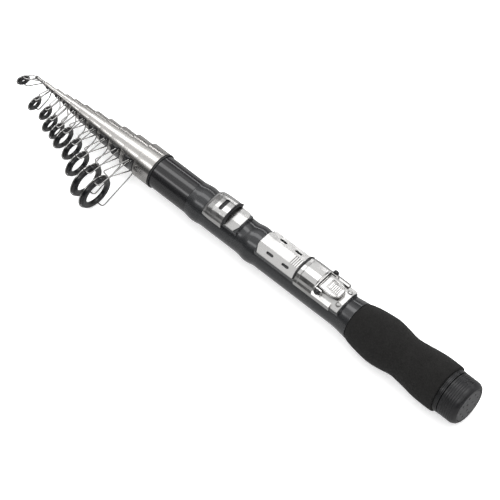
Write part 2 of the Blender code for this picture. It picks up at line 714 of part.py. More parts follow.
def make_plates():
    """The fixed plate under the front hood, and the slotted track of the sliding hood."""
    front = SEAT_AT + FRONT_HOOD[0] + PLATE_SETBACK
    length = SEAT_AT + FRONT_BLOCK[1] - 0.4 * MM - front
    make_plate("front_foot_plate", FRONT_PLATE_HALF, front, length, -2.4 * MM)
    length = SEAT_LENGTH - RIVET_FROM_REAR + 2.6 * MM - REAR_BLOCK[0]
    track = make_plate("track_plate", TRACK_PLATE_HALF, TRACK_AT, length, 3.2 * MM)
    for i, station in enumerate((10.8 * MM, 23.7 * MM)):
        for side in (-1, 1):
            cut_slot(track, "track_slot_%d_%d" % (i, side + 1), TRACK_AT + station,
                     side * 6.6 * MM, 5.9 * MM, 1.7 * MM)
    for i in range(GROOVES):
        station = GROOVES_AT + i * GROOVE_PITCH
        groove = box_mesh("groove_%d" % i,
                          (station, -PLATE_CREST - 0.1 * MM, PLATE_TOP - 0.4 * MM),
                          (station + 0.7 * MM, PLATE_CREST + 0.1 * MM, PLATE_TOP + 1 * MM))
        combine(track, tool("groove_%d" % i, groove, Matrix.Identity(4)), 'DIFFERENCE')
    low = box_mesh("track_low", (SLIDER_AT - 0.2 * MM, -PLATE_CREST - 1.2 * MM,
                                 PLATE_TOP - TRACK_LOW),
                   (SEAT_AT + SEAT_LENGTH, PLATE_CREST + 1.2 * MM, PLATE_TOP + 1 * MM))
    combine(track, tool("track_low", low, Matrix.Identity(4)), 'DIFFERENCE')
    for side, hand in ((-1, "right"), (1, "left")):
        make_rivet(track, side, hand)


def make_rivet(track, side, hand):
    """A domed rivet that holds the track's rear end."""
    station = SEAT_AT + SEAT_LENGTH - RIVET_FROM_REAR
    hole = rod_mesh("rivet_hole_" + hand, 1.0 * MM, 12 * MM, 10)
    place = Matrix.Translation((station, side * RIVET_SIDE, PLATE_TOP))
    combine(track, tool("rivet_hole_" + hand, hole, place), 'DIFFERENCE')
    slope = math.atan(PLATE_SLOPE)
    fall = (RIVET_SIDE - PLATE_CREST) * PLATE_SLOPE
    height = PLATE_TOP - fall
    points = solid_points([(-0.6 * MM, 0.7 * MM), (GAP, 0.7 * MM), (GAP, 1.6 * MM),
                           (0.7 * MM, 1.5 * MM), (1.1 * MM, 0.9 * MM)])
    mesh = profile_mesh("track_rivet_" + hand, points, False)
    place = Matrix.Translation((station, side * RIVET_SIDE, height))
    place = place @ Matrix.Rotation(-side * slope, 4, 'X')
    made = add("track_rivet_" + hand, mesh, "satin_silver", rod_axis, place)
    turn(made, 12)


# ---------------------------------------------------------------- hoods
def hood_half(shrink, foot, side, crown):
    """Half outline of a hood, from its foot at +Y up to the crown."""
    shape = [(1.0, 0.0), (1.0, 0.35), (0.895, 0.49), (0.80, 0.66), (0.63, 0.86),
             (0.34, 0.97), (0.0, 1.0)]
    return [(y * (side - shrink), foot + z * (crown - shrink - foot)) for y, z in shape]


def hood(name, stations, side, parent, look, wall_size, shrink=0.0):
    """A hood lofted through (station, crown height, side share) rows."""
    sections = [(station, hood_half(shrink, HOOD_FOOT, side * share, crown))
                for station, crown, share in stations]
    made = add(name, shell_mesh(name, sections), look, parent, Matrix.Identity(4))
    thicken(made, wall_size)
    return made


def make_front_hood():
    """The fixed hood over the front end of the reel foot, with its black liner."""
    front, rear = SEAT_AT + FRONT_HOOD[0], SEAT_AT + FRONT_HOOD[1]
    span = rear - front
    rows = [(front, 15.6 * MM, 0.955), (front + 0.10 * span, 16.9 * MM, 0.975),
            (front + 0.35 * span, 18.0 * MM, 1.0), (front + 0.7 * span, 18.8 * MM, 1.0),
            (rear, 19.2 * MM, 1.0)]
    shell = hood("front_hood", rows, HOOD_SIDE, rod_axis, "satin_silver", HOOD_WALL)
    slot = prism_mesh("hood_slot", rounded_slot(HOOD_SLOT[1], HOOD_SLOT[0]), 8 * MM)
    place = Matrix.Translation((front + 0.62 * span, 0, 20 * MM))
    place = place @ Matrix.Rotation(math.pi / 2, 4, 'Z')
    combine(shell, tool("hood_slot", slot, place), 'DIFFERENCE')
    inside = HOOD_WALL + GAP
    liner_front = front + 0.35 * span
    rows = [(liner_front, 18.0 * MM, 1.0), (front + 0.7 * span, 18.8 * MM, 1.0),
            (rear + LINER_LIP - 0.2 * MM, 19.3 * MM, 1.0)]
    liner = hood("front_hood_liner", rows, HOOD_SIDE, rod_axis, "liner_black",
                 LINER_WALL, inside)
    lip = [(rear + GAP, 19.9 * MM, 1.01), (rear + LINER_LIP, 20.3 * MM, 1.03)]
    add_lip(liner, "front_liner_lip", lip, HOOD_SIDE)


def add_lip(liner, name, rows, side):
    """Adds the thick lip that stands round a hood's mouth."""
    sections = [(station, hood_half(0.0, HOOD_FOOT, side * share, crown))
                for station, crown, share in rows]
    lip = tool(name, shell_mesh(name, sections), Matrix.Identity(4))
    thicken(lip, 1.9 * MM)
    combine(liner, lip, 'UNION')
    low = min(rows)[0] - 40 * MM
    below = box_mesh(name + "_below", (low, -20 * MM, 0.0), (low + 80 * MM, 20 * MM, LINER_FOOT))
    combine(liner, tool(name + "_below", below, Matrix.Identity(4)), 'DIFFERENCE')


def make_slider():
    """The sliding hood with its liner, the lever's pin and the cam lever."""
    carrier = empty("hood_slide", rod_axis, Matrix.Translation((SLIDER_AT, 0, 0)))
    mouth = SLIDER_AT + LINER_LIP
    arch = SLIDER_AT + SLIDER_ARCH
    rear = SLIDER_AT + SLIDER_LENGTH
    side = TRACK_PLATE_HALF + GAP + HOOD_WALL
    foot = HOOD_FOOT
    rows = [(mouth, 19.2 * MM, 1.0), (mouth + 2.6 * MM, 19.5 * MM, 1.0),
            (mouth + 3.2 * MM, 20.2 * MM, 1.0), (arch, 20.2 * MM, 1.0)]
    sections = [(station, hood_half(0.0, foot, side * share, crown))
                for station, crown, share in rows]
    boxy = [(side, foot), (side, 13.4 * MM), (EAR_HALF + 0.5 * MM, 15.1 * MM),
            (EAR_HALF, 15.9 * MM), (EAR_HALF, 18.2 * MM), (EAR_HALF * 0.6, 18.7 * MM),
            (0.0, 18.7 * MM)]
    sections += [(arch + 0.8 * MM, boxy), (rear, boxy)]
    shell = add("sliding_hood", shell_mesh("sliding_hood", sections), "satin_silver", carrier,
                Matrix.Identity(4))
    thicken(shell, HOOD_WALL)
    window = LEVER_HALF + 2 * GAP
    cuts = [("lever_window", (arch + 1.3 * MM, -window, 13.9 * MM), (rear + 1 * MM, window, 25 * MM)),
            ("ear_top", (arch + 1.3 * MM, -12 * MM, PIVOT_HEIGHT + 1.1 * MM),
             (rear + 1 * MM, 12 * MM, 25 * MM)),
            ("ear_rear", (PIVOT_AT + 2.4 * MM, -12 * MM, 14.3 * MM),
             (rear + 1 * MM, 12 * MM, 25 * MM)),
            ("ear_front", (arch + 1.3 * MM, -12 * MM, 14.9 * MM),
             (PIVOT_AT - 2.0 * MM, 12 * MM, 25 * MM))]
    for name, low, high in cuts:
        combine(shell, tool(name, box_mesh(name, low, high), Matrix.Identity(4)), 'DIFFERENCE')
    across = Matrix.Translation((PIVOT_AT, 0, PIVOT_HEIGHT)) @ Matrix.Rotation(math.pi / 2, 4, 'X')
    hole = rod_mesh("pin_hole", PIN_RADIUS + PIN_FIT, 30 * MM, 12)
    combine(shell, tool("pin_hole", hole, across), 'DIFFERENCE')

    inside = HOOD_WALL + GAP
    rows = [(SLIDER_AT + 0.2 * MM, 19.4 * MM, 1.0), (mouth + 2.6 * MM, 19.5 * MM, 1.0),
            (mouth + 6 * MM, 20.2 * MM, 1.0), (arch - 2 * MM, 20.2 * MM, 1.0)]
    liner = hood("sliding_hood_liner", rows, side, carrier, "liner_black", LINER_WALL, inside)
    lip = [(SLIDER_AT, 20.1 * MM, 1.02), (SLIDER_AT + LINER_LIP - GAP, 19.8 * MM, 1.01)]
    add_lip(liner, "sliding_liner_lip", lip, side)

    head = EAR_HALF + 2 * GAP
    reach = 2.1 * MM
    points = solid_points([(-head - reach, 1.5 * MM), (-head - reach * 0.7, 2.0 * MM),
                           (-head, 2.0 * MM), (-head, PIN_RADIUS), (head, PIN_RADIUS),
                           (head, 2.0 * MM), (head + reach * 0.7, 2.0 * MM),
                           (head + reach, 1.5 * MM)])
    mesh = profile_mesh("lever_pin", points, False)
    turn(add("lever_pin", mesh, "liner_black", carrier, across), 12)
    make_lever(carrier)


def lever_outline():
    """Side outline of the lever about its pivot: a cam and a curved arm."""
    points = []
    steps = 8
    for i in range(steps + 1):
        angle = math.radians(75 + 210 * i / steps)
        points.append((CAM_RADIUS * math.cos(angle), CAM_RADIUS * math.sin(angle)))
    drop = 1.9 * MM
    under = [(3.0 * MM, -1.5 * MM), (LEVER_REACH * 0.55, -0.9 * MM),
             (LEVER_REACH - 1 * MM, -1.0 * MM - drop * 0.2)]
    over = [(LEVER_REACH, 0.2 * MM), (LEVER_REACH * 0.75, 1.2 * MM),
            (LEVER_REACH * 0.45, 1.6 * MM)]
    return points + under + over


def make_lever(carrier):
    """The cam lever that clamps the sliding hood, with grooves on its thumb pad."""
    pivot = Matrix.Translation((PIVOT_AT, 0, PIVOT_HEIGHT))
    across = pivot @ Matrix.Rotation(math.pi / 2, 4, 'X')
    hinge = empty("lever_hinge", carrier, pivot)
    mesh = prism_mesh("lock_lever", lever_outline(), 2 * LEVER_HALF)
    lever = add("lock_lever", mesh, "satin_silver", hinge, across)
    hole = rod_mesh("lever_hole", PIN_RADIUS + PIN_FIT, 30 * MM, 12)
    combine(lever, tool("lever_hole", hole, across), 'DIFFERENCE')
    for i in range(5):
        station = PIVOT_AT + LEVER_REACH * 0.42 + i * 1.3 * MM
        groove = box_mesh("pad_groove_%d" % i,
                          (station, -4.4 * MM, PIVOT_HEIGHT + 1.0 * MM - i * 0.12 * MM),
                          (station + 0.6 * MM, 4.4 * MM, PIVOT_HEIGHT + 4 * MM))
        combine(lever, tool("pad_groove_%d" % i, groove, Matrix.Identity(4)), 'DIFFERENCE')


# ---------------------------------------------------------------- grip and butt cap
def make_grip():
    """The foam grip, with a bulge in front, a waist and a thick rear end."""
    length = GRIP_LENGTH
    bore = BUTT_CORE_OD / 2 + GLUE
    keys = [(0.0, GRIP_FRONT_RADIUS - 0.8 * MM), (0.010, GRIP_FRONT_RADIUS),
            (0.05, GRIP_FRONT_RADIUS + 1.0 * MM), (0.14, GRIP_BULGE_RADIUS - 1.1 * MM),
            (0.29, GRIP_BULGE_RADIUS), (0.40, GRIP_BULGE_RADIUS - 0.8 * MM),
            (0.52, GRIP_WAIST_RADIUS), (0.64, GRIP_WAIST_RADIUS + 0.7 * MM),
            (0.80, GRIP_REAR_RADIUS - 0.3 * MM), (0.90, GRIP_REAR_RADIUS),
            (0.99, GRIP_REAR_RADIUS - 0.2 * MM), (1.0, GRIP_REAR_RADIUS - 0.8 * MM)]
    outer = [(share * length, radius) for share, radius in keys]
    tube("foam_grip", outer, [(0.0, bore), (length, bore)], "foam_black", rod_axis, GRIP_AT, 24)
    skin = [(0.0, END_COLLAR_RADIUS), (END_COLLAR_LENGTH, END_COLLAR_RADIUS)]
    tube("grip_end_collar", skin, [(0.0, bore), (END_COLLAR_LENGTH, bore)], "cap_black",
         rod_axis, END_COLLAR_AT, 24)


def make_cap():
    """The butt cap, which unscrews, with its inlay and the ring that seals its plug."""
    carrier = empty("cap_slide", rod_axis, Matrix.Translation((CAP_AT, 0, 0)))
    plug = BUTT_BORE / 2 - GLUE - THREAD_WALL - GAP
    flat = CAP_LENGTH - CAP_INLAY_DEPTH - GAP
    outer = [(-PLUG_LENGTH, plug), (0.0, plug), (0.0, CAP_RADIUS),
             (CAP_LENGTH - CAP_EDGE, CAP_RADIUS - 0.3 * MM),
             (CAP_LENGTH, CAP_RADIUS - CAP_EDGE), (CAP_LENGTH, CAP_INLAY_RADIUS + GAP),
             (flat, CAP_INLAY_RADIUS + GAP)]
    solid("butt_cap", outer, "cap_black", carrier, CAP_AT, 24)
    inlay = [(0.0, CAP_INLAY_RADIUS), (CAP_INLAY_DEPTH, CAP_INLAY_RADIUS)]
    solid("cap_inlay", inlay, "inlay_grey", carrier, CAP_AT + flat + GAP, 24)
    wire = 0.32 * MM
    seal = plug + wire + 0.1 * MM
    skin = [(-wire, seal), (0.0, seal + wire), (wire, seal)]
    tube("cap_o_ring", skin, [(0.0, seal - wire)], "liner_black", carrier, CAP_AT - 3.2 * MM)


make_tip()
make_tip_top()
for number in range(1, SECTIONS + 1):
    make_section(number)
    make_guide(number)
make_butt()
make_seat_body()
make_plates()
make_front_hood()
make_slider()
make_grip()
make_cap()
bpy.context.view_layer.update()
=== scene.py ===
# %% [markdown]
# # A telescopic rod, finished piece by piece
# The imported model gives every piece its true size, place and joint. This lesson lays finer
# surfaces over it, each computed from a short formula, and paints them with procedural
# materials. First the model is loaded. No finish may make the rod any bigger.

# %% Load the measured model
import json
import math

import bpy
import numpy as np
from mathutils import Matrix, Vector


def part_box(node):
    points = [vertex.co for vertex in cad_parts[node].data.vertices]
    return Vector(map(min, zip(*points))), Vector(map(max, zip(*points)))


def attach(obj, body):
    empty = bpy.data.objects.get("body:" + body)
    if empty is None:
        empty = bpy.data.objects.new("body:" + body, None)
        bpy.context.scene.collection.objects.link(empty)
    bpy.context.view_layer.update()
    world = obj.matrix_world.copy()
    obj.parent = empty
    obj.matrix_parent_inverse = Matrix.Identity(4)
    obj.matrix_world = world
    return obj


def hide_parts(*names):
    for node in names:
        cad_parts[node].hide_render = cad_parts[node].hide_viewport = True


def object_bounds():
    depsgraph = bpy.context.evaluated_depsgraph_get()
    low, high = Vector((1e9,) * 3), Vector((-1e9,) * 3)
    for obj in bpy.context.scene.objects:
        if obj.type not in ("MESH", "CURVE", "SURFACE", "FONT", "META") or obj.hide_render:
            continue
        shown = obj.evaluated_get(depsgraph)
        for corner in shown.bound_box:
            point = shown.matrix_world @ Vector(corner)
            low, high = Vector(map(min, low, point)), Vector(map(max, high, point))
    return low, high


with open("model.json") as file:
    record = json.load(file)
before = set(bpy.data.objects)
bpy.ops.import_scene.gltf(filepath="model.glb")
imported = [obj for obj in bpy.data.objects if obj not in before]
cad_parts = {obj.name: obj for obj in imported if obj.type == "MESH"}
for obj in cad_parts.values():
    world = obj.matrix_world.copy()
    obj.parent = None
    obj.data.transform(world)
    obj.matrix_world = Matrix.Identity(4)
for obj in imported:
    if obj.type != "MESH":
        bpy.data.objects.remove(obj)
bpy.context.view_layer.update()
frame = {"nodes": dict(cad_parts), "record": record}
NODES = frame["nodes"]
print("pieces in the model:", len(NODES))

# %% [markdown]
# ## Sizes the surfaces share
# Everything is in metres. The rod's axis runs along X, 14.9 mm under the bed that a reel's
# foot would lie on. The guides point almost sideways, a few degrees below the horizontal.

# %% Shared sizes
MM = 0.001
AXIS_Z = -14.9 * MM
BED_STATION = 215.9 * MM
SEAT_START = 144.6 * MM - BED_STATION
DROP = math.radians(5.0)
LEAN = math.radians(5.0)
TIP_LEAN = math.radians(27.0)
OUT = np.array([0.0, -math.cos(DROP), -math.sin(DROP)])
SIDE = np.array([0.0, -math.sin(DROP), math.cos(DROP)])
# Per section, tip first: how much of its sleeve shows, in mm.
EXPOSED = [9.7, 8.4, 7.4, 8.5, 9.8, 11.1, 11.2, 11.9, 13.0]
FRONTS = [8.2 + sum(EXPOSED[:i]) for i in range(9)]
# Per guide, in mm: ring size, height of its centre over the axis, distance behind its sleeve's
# front edge.
GUIDES = [(10, 15.6, 6.0), (10, 16.4, 7.0), (12, 20.4, 6.5), (12, 21.6, 6.5), (16, 22.6, 5.0),
          (16, 25.2, 5.6), (19, 31.0, 4.9), (25, 36.2, 6.5), (25, 39.0, 5.0)]
print("sleeve fronts from the tip, mm:", [round(f, 1) for f in FRONTS])

# %% [markdown]
# ## From a grid of points to a mesh
# Every new surface starts as a grid: one parameter runs along it and the other goes round.
# Neighbouring points make a four-sided face. A short check of the enclosed volume makes the
# faces point outwards, which matters to anything that bends light or bakes a texture.

# %% Grid helpers
def outward_faces(points, faces):
    """The faces, all reversed if the volume they enclose is negative."""
    volume = 0.0
    for face in faces:
        a = points[face[0]]
        for i in range(1, len(face) - 1):
            volume += float(a @ np.cross(points[face[i]], points[face[i + 1]]))
    return [tuple(reversed(face)) for face in faces] if volume < 0 else faces


def new_piece(name, points, faces, smooth=True):
    """A mesh object at the origin, with its faces turned outwards."""
    points = np.asarray(points, float).reshape(-1, 3)
    faces = [tuple(int(i) for i in face) for face in outward_faces(points, faces)]
    mesh = bpy.data.meshes.new(name)
    mesh.from_pydata(points.tolist(), [], faces)
    mesh.update()
    if smooth:
        mesh.polygons.foreach_set("use_smooth", np.ones(len(mesh.polygons), bool))
    made = bpy.data.objects.new(name, mesh)
    bpy.context.scene.collection.objects.link(made)
    return made


def grid_faces(rows, columns, first=0, close_rows=False, close_columns=True):
    """Faces (i,j) (i,j+1) (i+1,j+1) (i+1,j) of a grid of points stored row after row."""
    last_row = rows if close_rows else rows - 1
    last_column = columns if close_columns else columns - 1
    i, j = np.meshgrid(np.arange(last_row), np.arange(last_column), indexing="ij")
    k, m = (i + 1) % rows, (j + 1) % columns
    faces = np.stack([i * columns + j, i * columns + m, k * columns + m, k * columns + j], -1)
    return [tuple(face) for face in (faces.reshape(-1, 4) + first).tolist()]


def soften(points, amount, closed=False, steps=4):
    """Rounds each corner b of a path: q(t) = (1-t)^2 p + 2t(1-t) b + t^2 r, where p and r
    lie `amount` before and after the corner, or less where the path's edge is short."""
    pts = [np.array(p, float) for p in points]
    made = [] if closed else [pts[0]]
    for i in (range(len(pts)) if closed else range(1, len(pts) - 1)):
        b, before, after = pts[i], pts[i - 1], pts[(i + 1) % len(pts)]
        back, on = before - b, after - b
        p = b + back * min(0.45, amount / np.linalg.norm(back))
        r = b + on * min(0.45, amount / np.linalg.norm(on))
        t = np.linspace(0, 1, steps + 1)[:, None]
        made += list((1 - t) ** 2 * p + 2 * t * (1 - t) * b + t ** 2 * r)
    if not closed:
        made.append(pts[-1])
    return np.array(made)


def round_x(profile, sides):
    """Points of a profile (distance along, radius) turned round the X axis: with angle a each
    one goes to (along, radius * cos a, radius * sin a)."""
    profile = np.array(profile, float)
    angle = np.linspace(0, 2 * np.pi, sides, endpoint=False)
    along = np.repeat(profile[:, :1], sides, 1)
    points = np.stack([along, profile[:, 1:] * np.cos(angle), profile[:, 1:] * np.sin(angle)], -1)
    return points.reshape(-1, 3)


def turned(name, profile, sides=96, closed=True, place=None):
    """A piece turned from a profile, moved to the rod's axis or laid at `place`."""
    points = round_x(profile, sides)
    faces = grid_faces(len(profile), sides, close_rows=closed)
    if not closed:
        faces.append(tuple(range(sides)))
        faces.append(tuple(range((len(profile) - 1) * sides, len(profile) * sides)))
    if place is None:
        points[:, 2] += AXIS_Z
    else:
        points = points @ place[:, :3].T + place[:, 3]
    return new_piece(name, points, faces)


def stations_of(node):
    """Place along X and distance from the rod's axis, for every vertex of a node."""
    mesh = NODES[node].data
    flat = np.zeros(3 * len(mesh.vertices))
    mesh.vertices.foreach_get("co", flat)
    co = flat.reshape(-1, 3)
    return co[:, 0], np.hypot(co[:, 1], co[:, 2] - AXIS_Z)


def measured(node):
    """Front, rear, smallest and largest radius of a turned node about the rod's axis."""
    x, radius = stations_of(node)
    return x.min(), x.max(), radius.min(), radius.max()


print("rounded corner of a 1 mm square has", len(soften([(0, 0), (1, 0), (1, 1)], 0.2)), "points")

# %% [markdown]
# ## Sweeping a round wire
# Guide frames are bent from round wire. The wire's path is a polyline with softened bends, and
# a small circle is carried along it. Each circle is turned only as much as the path turns, so
# that the wire doesn't twist.

# %% Wire helper
def wire(path, radius, bend, around=10):
    """Points and faces of a wire: c(u) + radius * (n cos v + b sin v), where n is carried
    along the path c and kept square to its direction."""
    c = soften(path, bend, steps=6)
    keep = np.concatenate([[True], np.linalg.norm(np.diff(c, axis=0), axis=1) > 1e-7])
    c = c[keep]
    step = np.gradient(c, axis=0)
    t = step / np.linalg.norm(step, axis=1)[:, None]
    n = np.cross(t[0], [0.3, 0.5, 0.81])
    v = np.linspace(0, 2 * np.pi, around, endpoint=False)[:, None]
    rings = []
    for point, tangent in zip(c, t):
        n = n - tangent * (n @ tangent)
        n = n / np.linalg.norm(n)
        b = np.cross(tangent, n)
        rings.append(point + radius * (np.cos(v) * n + np.sin(v) * b))
    faces = grid_faces(len(c), around)
    faces.append(tuple(range(around)))
    faces.append(tuple(range((len(c) - 1) * around, len(c) * around)))
    return np.concatenate(rings), faces


def joined(name, parts, dark=()):
    """One object from several (points, faces) lists, each turned outwards first. The parts
    whose numbers are in `dark` take the object's second material."""
    points, faces, look, count = [], [], [], 0
    for number, (p, f) in enumerate(parts):
        p = np.asarray(p, float)
        points.append(p)
        look += [1 if number in dark else 0] * len(f)
        faces += [tuple(i + count for i in face) for face in outward_faces(p, f)]
        count += len(p)
    made = new_piece(name, np.concatenate(points), faces)
    made.data.polygons.foreach_set("material_index", np.array(look, np.int32))
    return made


print("a straight 10 mm wire has", len(wire([(0, 0, 0), (0.01, 0, 0)], 0.0005, 0.001)[0]), "points")

# %% [markdown]
# ## Effects that several finishes share
# A node group holds an effect once and lends it to many materials. This one imitates the marks
# of a lathe and a polishing wheel: noise squeezed along the rod, so that it runs round the
# piece in fine rings, and a broad cloudy pattern for handling marks. It gives out only masks
# and a height, and the shader stays in each material.

# %% Node group helpers
def group(name, outputs, inputs=()):
    """A shader node group with float inputs and outputs, and its two end nodes."""
    tree = bpy.data.node_groups.new(name, "ShaderNodeTree")
    for label, value in inputs:
        socket = tree.interface.new_socket(label, in_out="INPUT", socket_type="NodeSocketFloat")
        socket.default_value = value
    for label in outputs:
        tree.interface.new_socket(label, in_out="OUTPUT", socket_type="NodeSocketFloat")
    return tree, tree.nodes.new("NodeGroupInput"), tree.nodes.new("NodeGroupOutput")


def noise(tree, vector, scale, detail=4.0, rough=0.55):
    """A noise texture node fed with a vector."""
    node = tree.nodes.new("ShaderNodeTexNoise")
    node.inputs["Detail"].default_value = detail
    node.inputs["Roughness"].default_value = rough
    if isinstance(scale, (int, float)):
        node.inputs["Scale"].default_value = scale
    else:
        tree.links.new(scale, node.inputs["Scale"])
    tree.links.new(vector, node.inputs["Vector"])
    return node.outputs["Fac"]


def remap(tree, value, low, high, to_low=0.0, to_high=1.0):
    """A map-range node."""
    node = tree.nodes.new("ShaderNodeMapRange")
    for label, number in (("From Min", low), ("From Max", high),
                          ("To Min", to_low), ("To Max", to_high)):
        node.inputs[label].default_value = number
    tree.links.new(value, node.inputs["Value"])
    return node.outputs["Result"]


def blend(tree, kind, a, b):
    """A math node on two values; b may be a number."""
    node = tree.nodes.new("ShaderNodeMath")
    node.operation = kind
    tree.links.new(a, node.inputs[0])
    if isinstance(b, (int, float)):
        node.inputs[1].default_value = b
    else:
        tree.links.new(b, node.inputs[1])
    return node.outputs[0]


def stretched(tree, scale):
    """Object coordinates with each axis multiplied by its own number."""
    place = tree.nodes.new("ShaderNodeTexCoord")
    node = tree.nodes.new("ShaderNodeMapping")
    node.inputs["Scale"].default_value = scale
    tree.links.new(place.outputs["Object"], node.inputs["Vector"])
    return node.outputs["Vector"]


turning, _, turning_out = group("turning marks", ("Rings", "Smudges", "Scratches"))
rings = noise(turning, stretched(turning, (9000.0, 60.0, 60.0)), 1.0, 3.0)
turning.links.new(remap(turning, rings, 0.3, 0.7), turning_out.inputs["Rings"])
smudge = noise(turning, stretched(turning, (90.0, 140.0, 140.0)), 1.0, 5.0, 0.65)
turning.links.new(remap(turning, smudge, 0.42, 0.68), turning_out.inputs["Smudges"])
scratch = noise(turning, stretched(turning, (160.0, 3500.0, 3500.0)), 1.0, 2.0)
turning.links.new(remap(turning, scratch, 0.66, 0.74), turning_out.inputs["Scratches"])
print("turning marks group:", len(turning.nodes), "nodes")

# %% [markdown]
# A second group makes an even fine grain, for moulded plastic and blasted metal. A third makes
# dust and rubbed spots, which show mostly on dark glossy pieces.

# %% Grain and dust groups
grain, grain_in, grain_out = group("fine grain", ("Grain", "Patches"), (("Scale", 3000.0),))
flat = stretched(grain, (1.0, 1.0, 1.0))
grain.links.new(noise(grain, flat, grain_in.outputs["Scale"], 3.0, 0.6), grain_out.inputs["Grain"])
patches = noise(grain, flat, 120.0, 4.0)
grain.links.new(remap(grain, patches, 0.35, 0.65), grain_out.inputs["Patches"])

dust, _, dust_out = group("dust and rubs", ("Dust", "Rubs"))
flat = stretched(dust, (1.0, 1.0, 1.0))
cells = dust.nodes.new("ShaderNodeTexVoronoi")
cells.inputs["Scale"].default_value = 900.0
dust.links.new(flat, cells.inputs["Vector"])
specks = remap(dust, cells.outputs["Distance"], 0.10, 0.02)
where = remap(dust, noise(dust, flat, 260.0, 2.0), 0.56, 0.66)
dust.links.new(blend(dust, "MULTIPLY", specks, where), dust_out.inputs["Dust"])
dust.links.new(remap(dust, noise(dust, flat, 70.0, 6.0, 0.7), 0.5, 0.72), dust_out.inputs["Rubs"])
print("groups:", [tree.name for tree in bpy.data.node_groups])

# %% [markdown]
# ## A workbench for materials
# Every finish starts from the same few steps: a Principled shader, a colour mixed from two
# close tones, a roughness that varies, and a bump. The helper wires those steps, and each
# material keeps its own constants on the shader's sockets. A second helper paints shade into a
# colour: it goes darker where two surfaces come close, in seams, grooves and corners.

# %% Material helper
def finish_of(name, effect, tones, mask, rough, rough_mask, height, bump, distance, settings,
              scale=None):
    """A material with two tones, varying roughness and bump, all taken from one group."""
    made = bpy.data.materials.new(name)
    made.use_nodes = True
    tree = made.node_tree
    shader = tree.nodes["Principled BSDF"]
    for label, value in settings.items():
        shader.inputs[label].default_value = value
    source = tree.nodes.new("ShaderNodeGroup")
    source.node_tree = effect
    if scale is not None:
        source.inputs["Scale"].default_value = scale
    mix = tree.nodes.new("ShaderNodeMix")
    mix.data_type = "RGBA"
    mix.inputs["A"].default_value = (*tones[0], 1.0)
    mix.inputs["B"].default_value = (*tones[1], 1.0)
    tree.links.new(source.outputs[mask], mix.inputs["Factor"])
    tree.links.new(mix.outputs["Result"], shader.inputs["Base Color"])
    level = remap(tree, source.outputs[rough_mask], 0.0, 1.0, rough[0], rough[1])
    tree.links.new(level, shader.inputs["Roughness"])
    relief = tree.nodes.new("ShaderNodeBump")
    relief.inputs["Strength"].default_value = bump
    relief.inputs["Distance"].default_value = distance
    tree.links.new(source.outputs[height], relief.inputs["Height"])
    tree.links.new(relief.outputs["Normal"], shader.inputs["Normal"])
    return made


# Painted shade: ambient occlusion darkens the base colour in seams, grooves and corners.
def painted_corner_shade(material, reach, shade_tone):
    """Paints shade into the colour: darker where close surfaces shade each other, as in grooves and
    seams.
    """
    tree = material.node_tree
    shader = tree.nodes["Principled BSDF"]
    colour = shader.inputs["Base Color"].links[0].from_socket
    shade = tree.nodes.new("ShaderNodeAmbientOcclusion")
    shade.samples = 8
    shade.inputs["Distance"].default_value = reach
    mix = tree.nodes.new("ShaderNodeMix")
    mix.data_type = "RGBA"
    mix.inputs["A"].default_value = (*shade_tone, 1.0)
    tree.links.new(colour, mix.inputs["B"])
    level = remap(tree, shade.outputs["AO"], 0.45, 0.90)
    tree.links.new(level, mix.inputs["Factor"])
    tree.links.new(mix.outputs["Result"], shader.inputs["Base Color"])


print("effects to draw on:", [tree.name for tree in bpy.data.node_groups])

# %% [markdown]
# ## Silver finishes
# The sleeves and hoods are polished, so their reflections are sharp and lively. The plates are
# satin: a fine grain spreads the light evenly. The guides are bent from bright drawn wire, its
# colour painted a little darker than the rest as shade, because the wire is so thin and curved.

# %% Silver materials
polished = finish_of("polished silver", turning, ((0.74, 0.72, 0.70), (0.62, 0.605, 0.585)),
                     "Smudges", (0.20, 0.32), "Smudges", "Rings", 0.12, 0.00005,
                     {"Metallic": 1.0})
satin = finish_of("satin silver", grain, ((0.80, 0.79, 0.78), (0.70, 0.695, 0.685)),
                  "Patches", (0.20, 0.32), "Patches", "Grain", 0.10, 0.00002,
                  {"Metallic": 1.0}, 4200.0)
# Painted shade: the wire's tones are set darker than the other metals' for its thin, curved shape.
steel = finish_of("bright steel wire", turning, ((0.60, 0.595, 0.585), (0.46, 0.455, 0.445)),
                  "Smudges", (0.14, 0.26), "Smudges", "Rings", 0.10, 0.00004,
                  {"Metallic": 1.0})
# Painted shade: the three metals go darker where close surfaces shade each other, in grooves, slots
# and seams.
painted_corner_shade(satin, 0.8 * MM, (0.02, 0.02, 0.02))
painted_corner_shade(polished, 0.9 * MM, (0.12, 0.115, 0.11))
painted_corner_shade(steel, 0.5 * MM, (0.05, 0.05, 0.05))
print("metals:", polished.name, "|", satin.name, "|", steel.name)

# %% [markdown]
# ## Black finishes
# The rod has several blacks that differ only in gloss. Lacquered tubes have a clear coat over
# a dark base, the ceramic rings are almost mirror smooth, the hood linings and the cap are
# moulded plastic with a fine grain, and the end disc is a little greyer. Painted shade makes the
# cap's grooves and the disc's holes darker still.

# %% Black materials
lacquer = finish_of("black lacquer", dust, ((0.011, 0.011, 0.012), (0.020, 0.020, 0.021)),
                    "Rubs", (0.16, 0.30), "Rubs", "Dust", 0.15, 0.00003,
                    {"Coat Weight": 0.7, "Coat Roughness": 0.06})
tube_black = finish_of("tube black", turning, ((0.020, 0.020, 0.021), (0.034, 0.034, 0.035)),
                       "Smudges", (0.28, 0.42), "Rings", "Rings", 0.1, 0.00004, {})
gunmetal = finish_of("gunmetal lacquer", dust, ((0.030, 0.031, 0.033), (0.045, 0.046, 0.048)),
                     "Rubs", (0.20, 0.32), "Rubs", "Dust", 0.15, 0.00003,
                     {"Metallic": 0.35, "Coat Weight": 0.8, "Coat Roughness": 0.08})
ceramic = finish_of("black ceramic", dust, ((0.006, 0.006, 0.007), (0.010, 0.010, 0.011)),
                    "Rubs", (0.07, 0.15), "Rubs", "Dust", 0.1, 0.00002,
                    {"Coat Weight": 0.4, "Coat Roughness": 0.05})
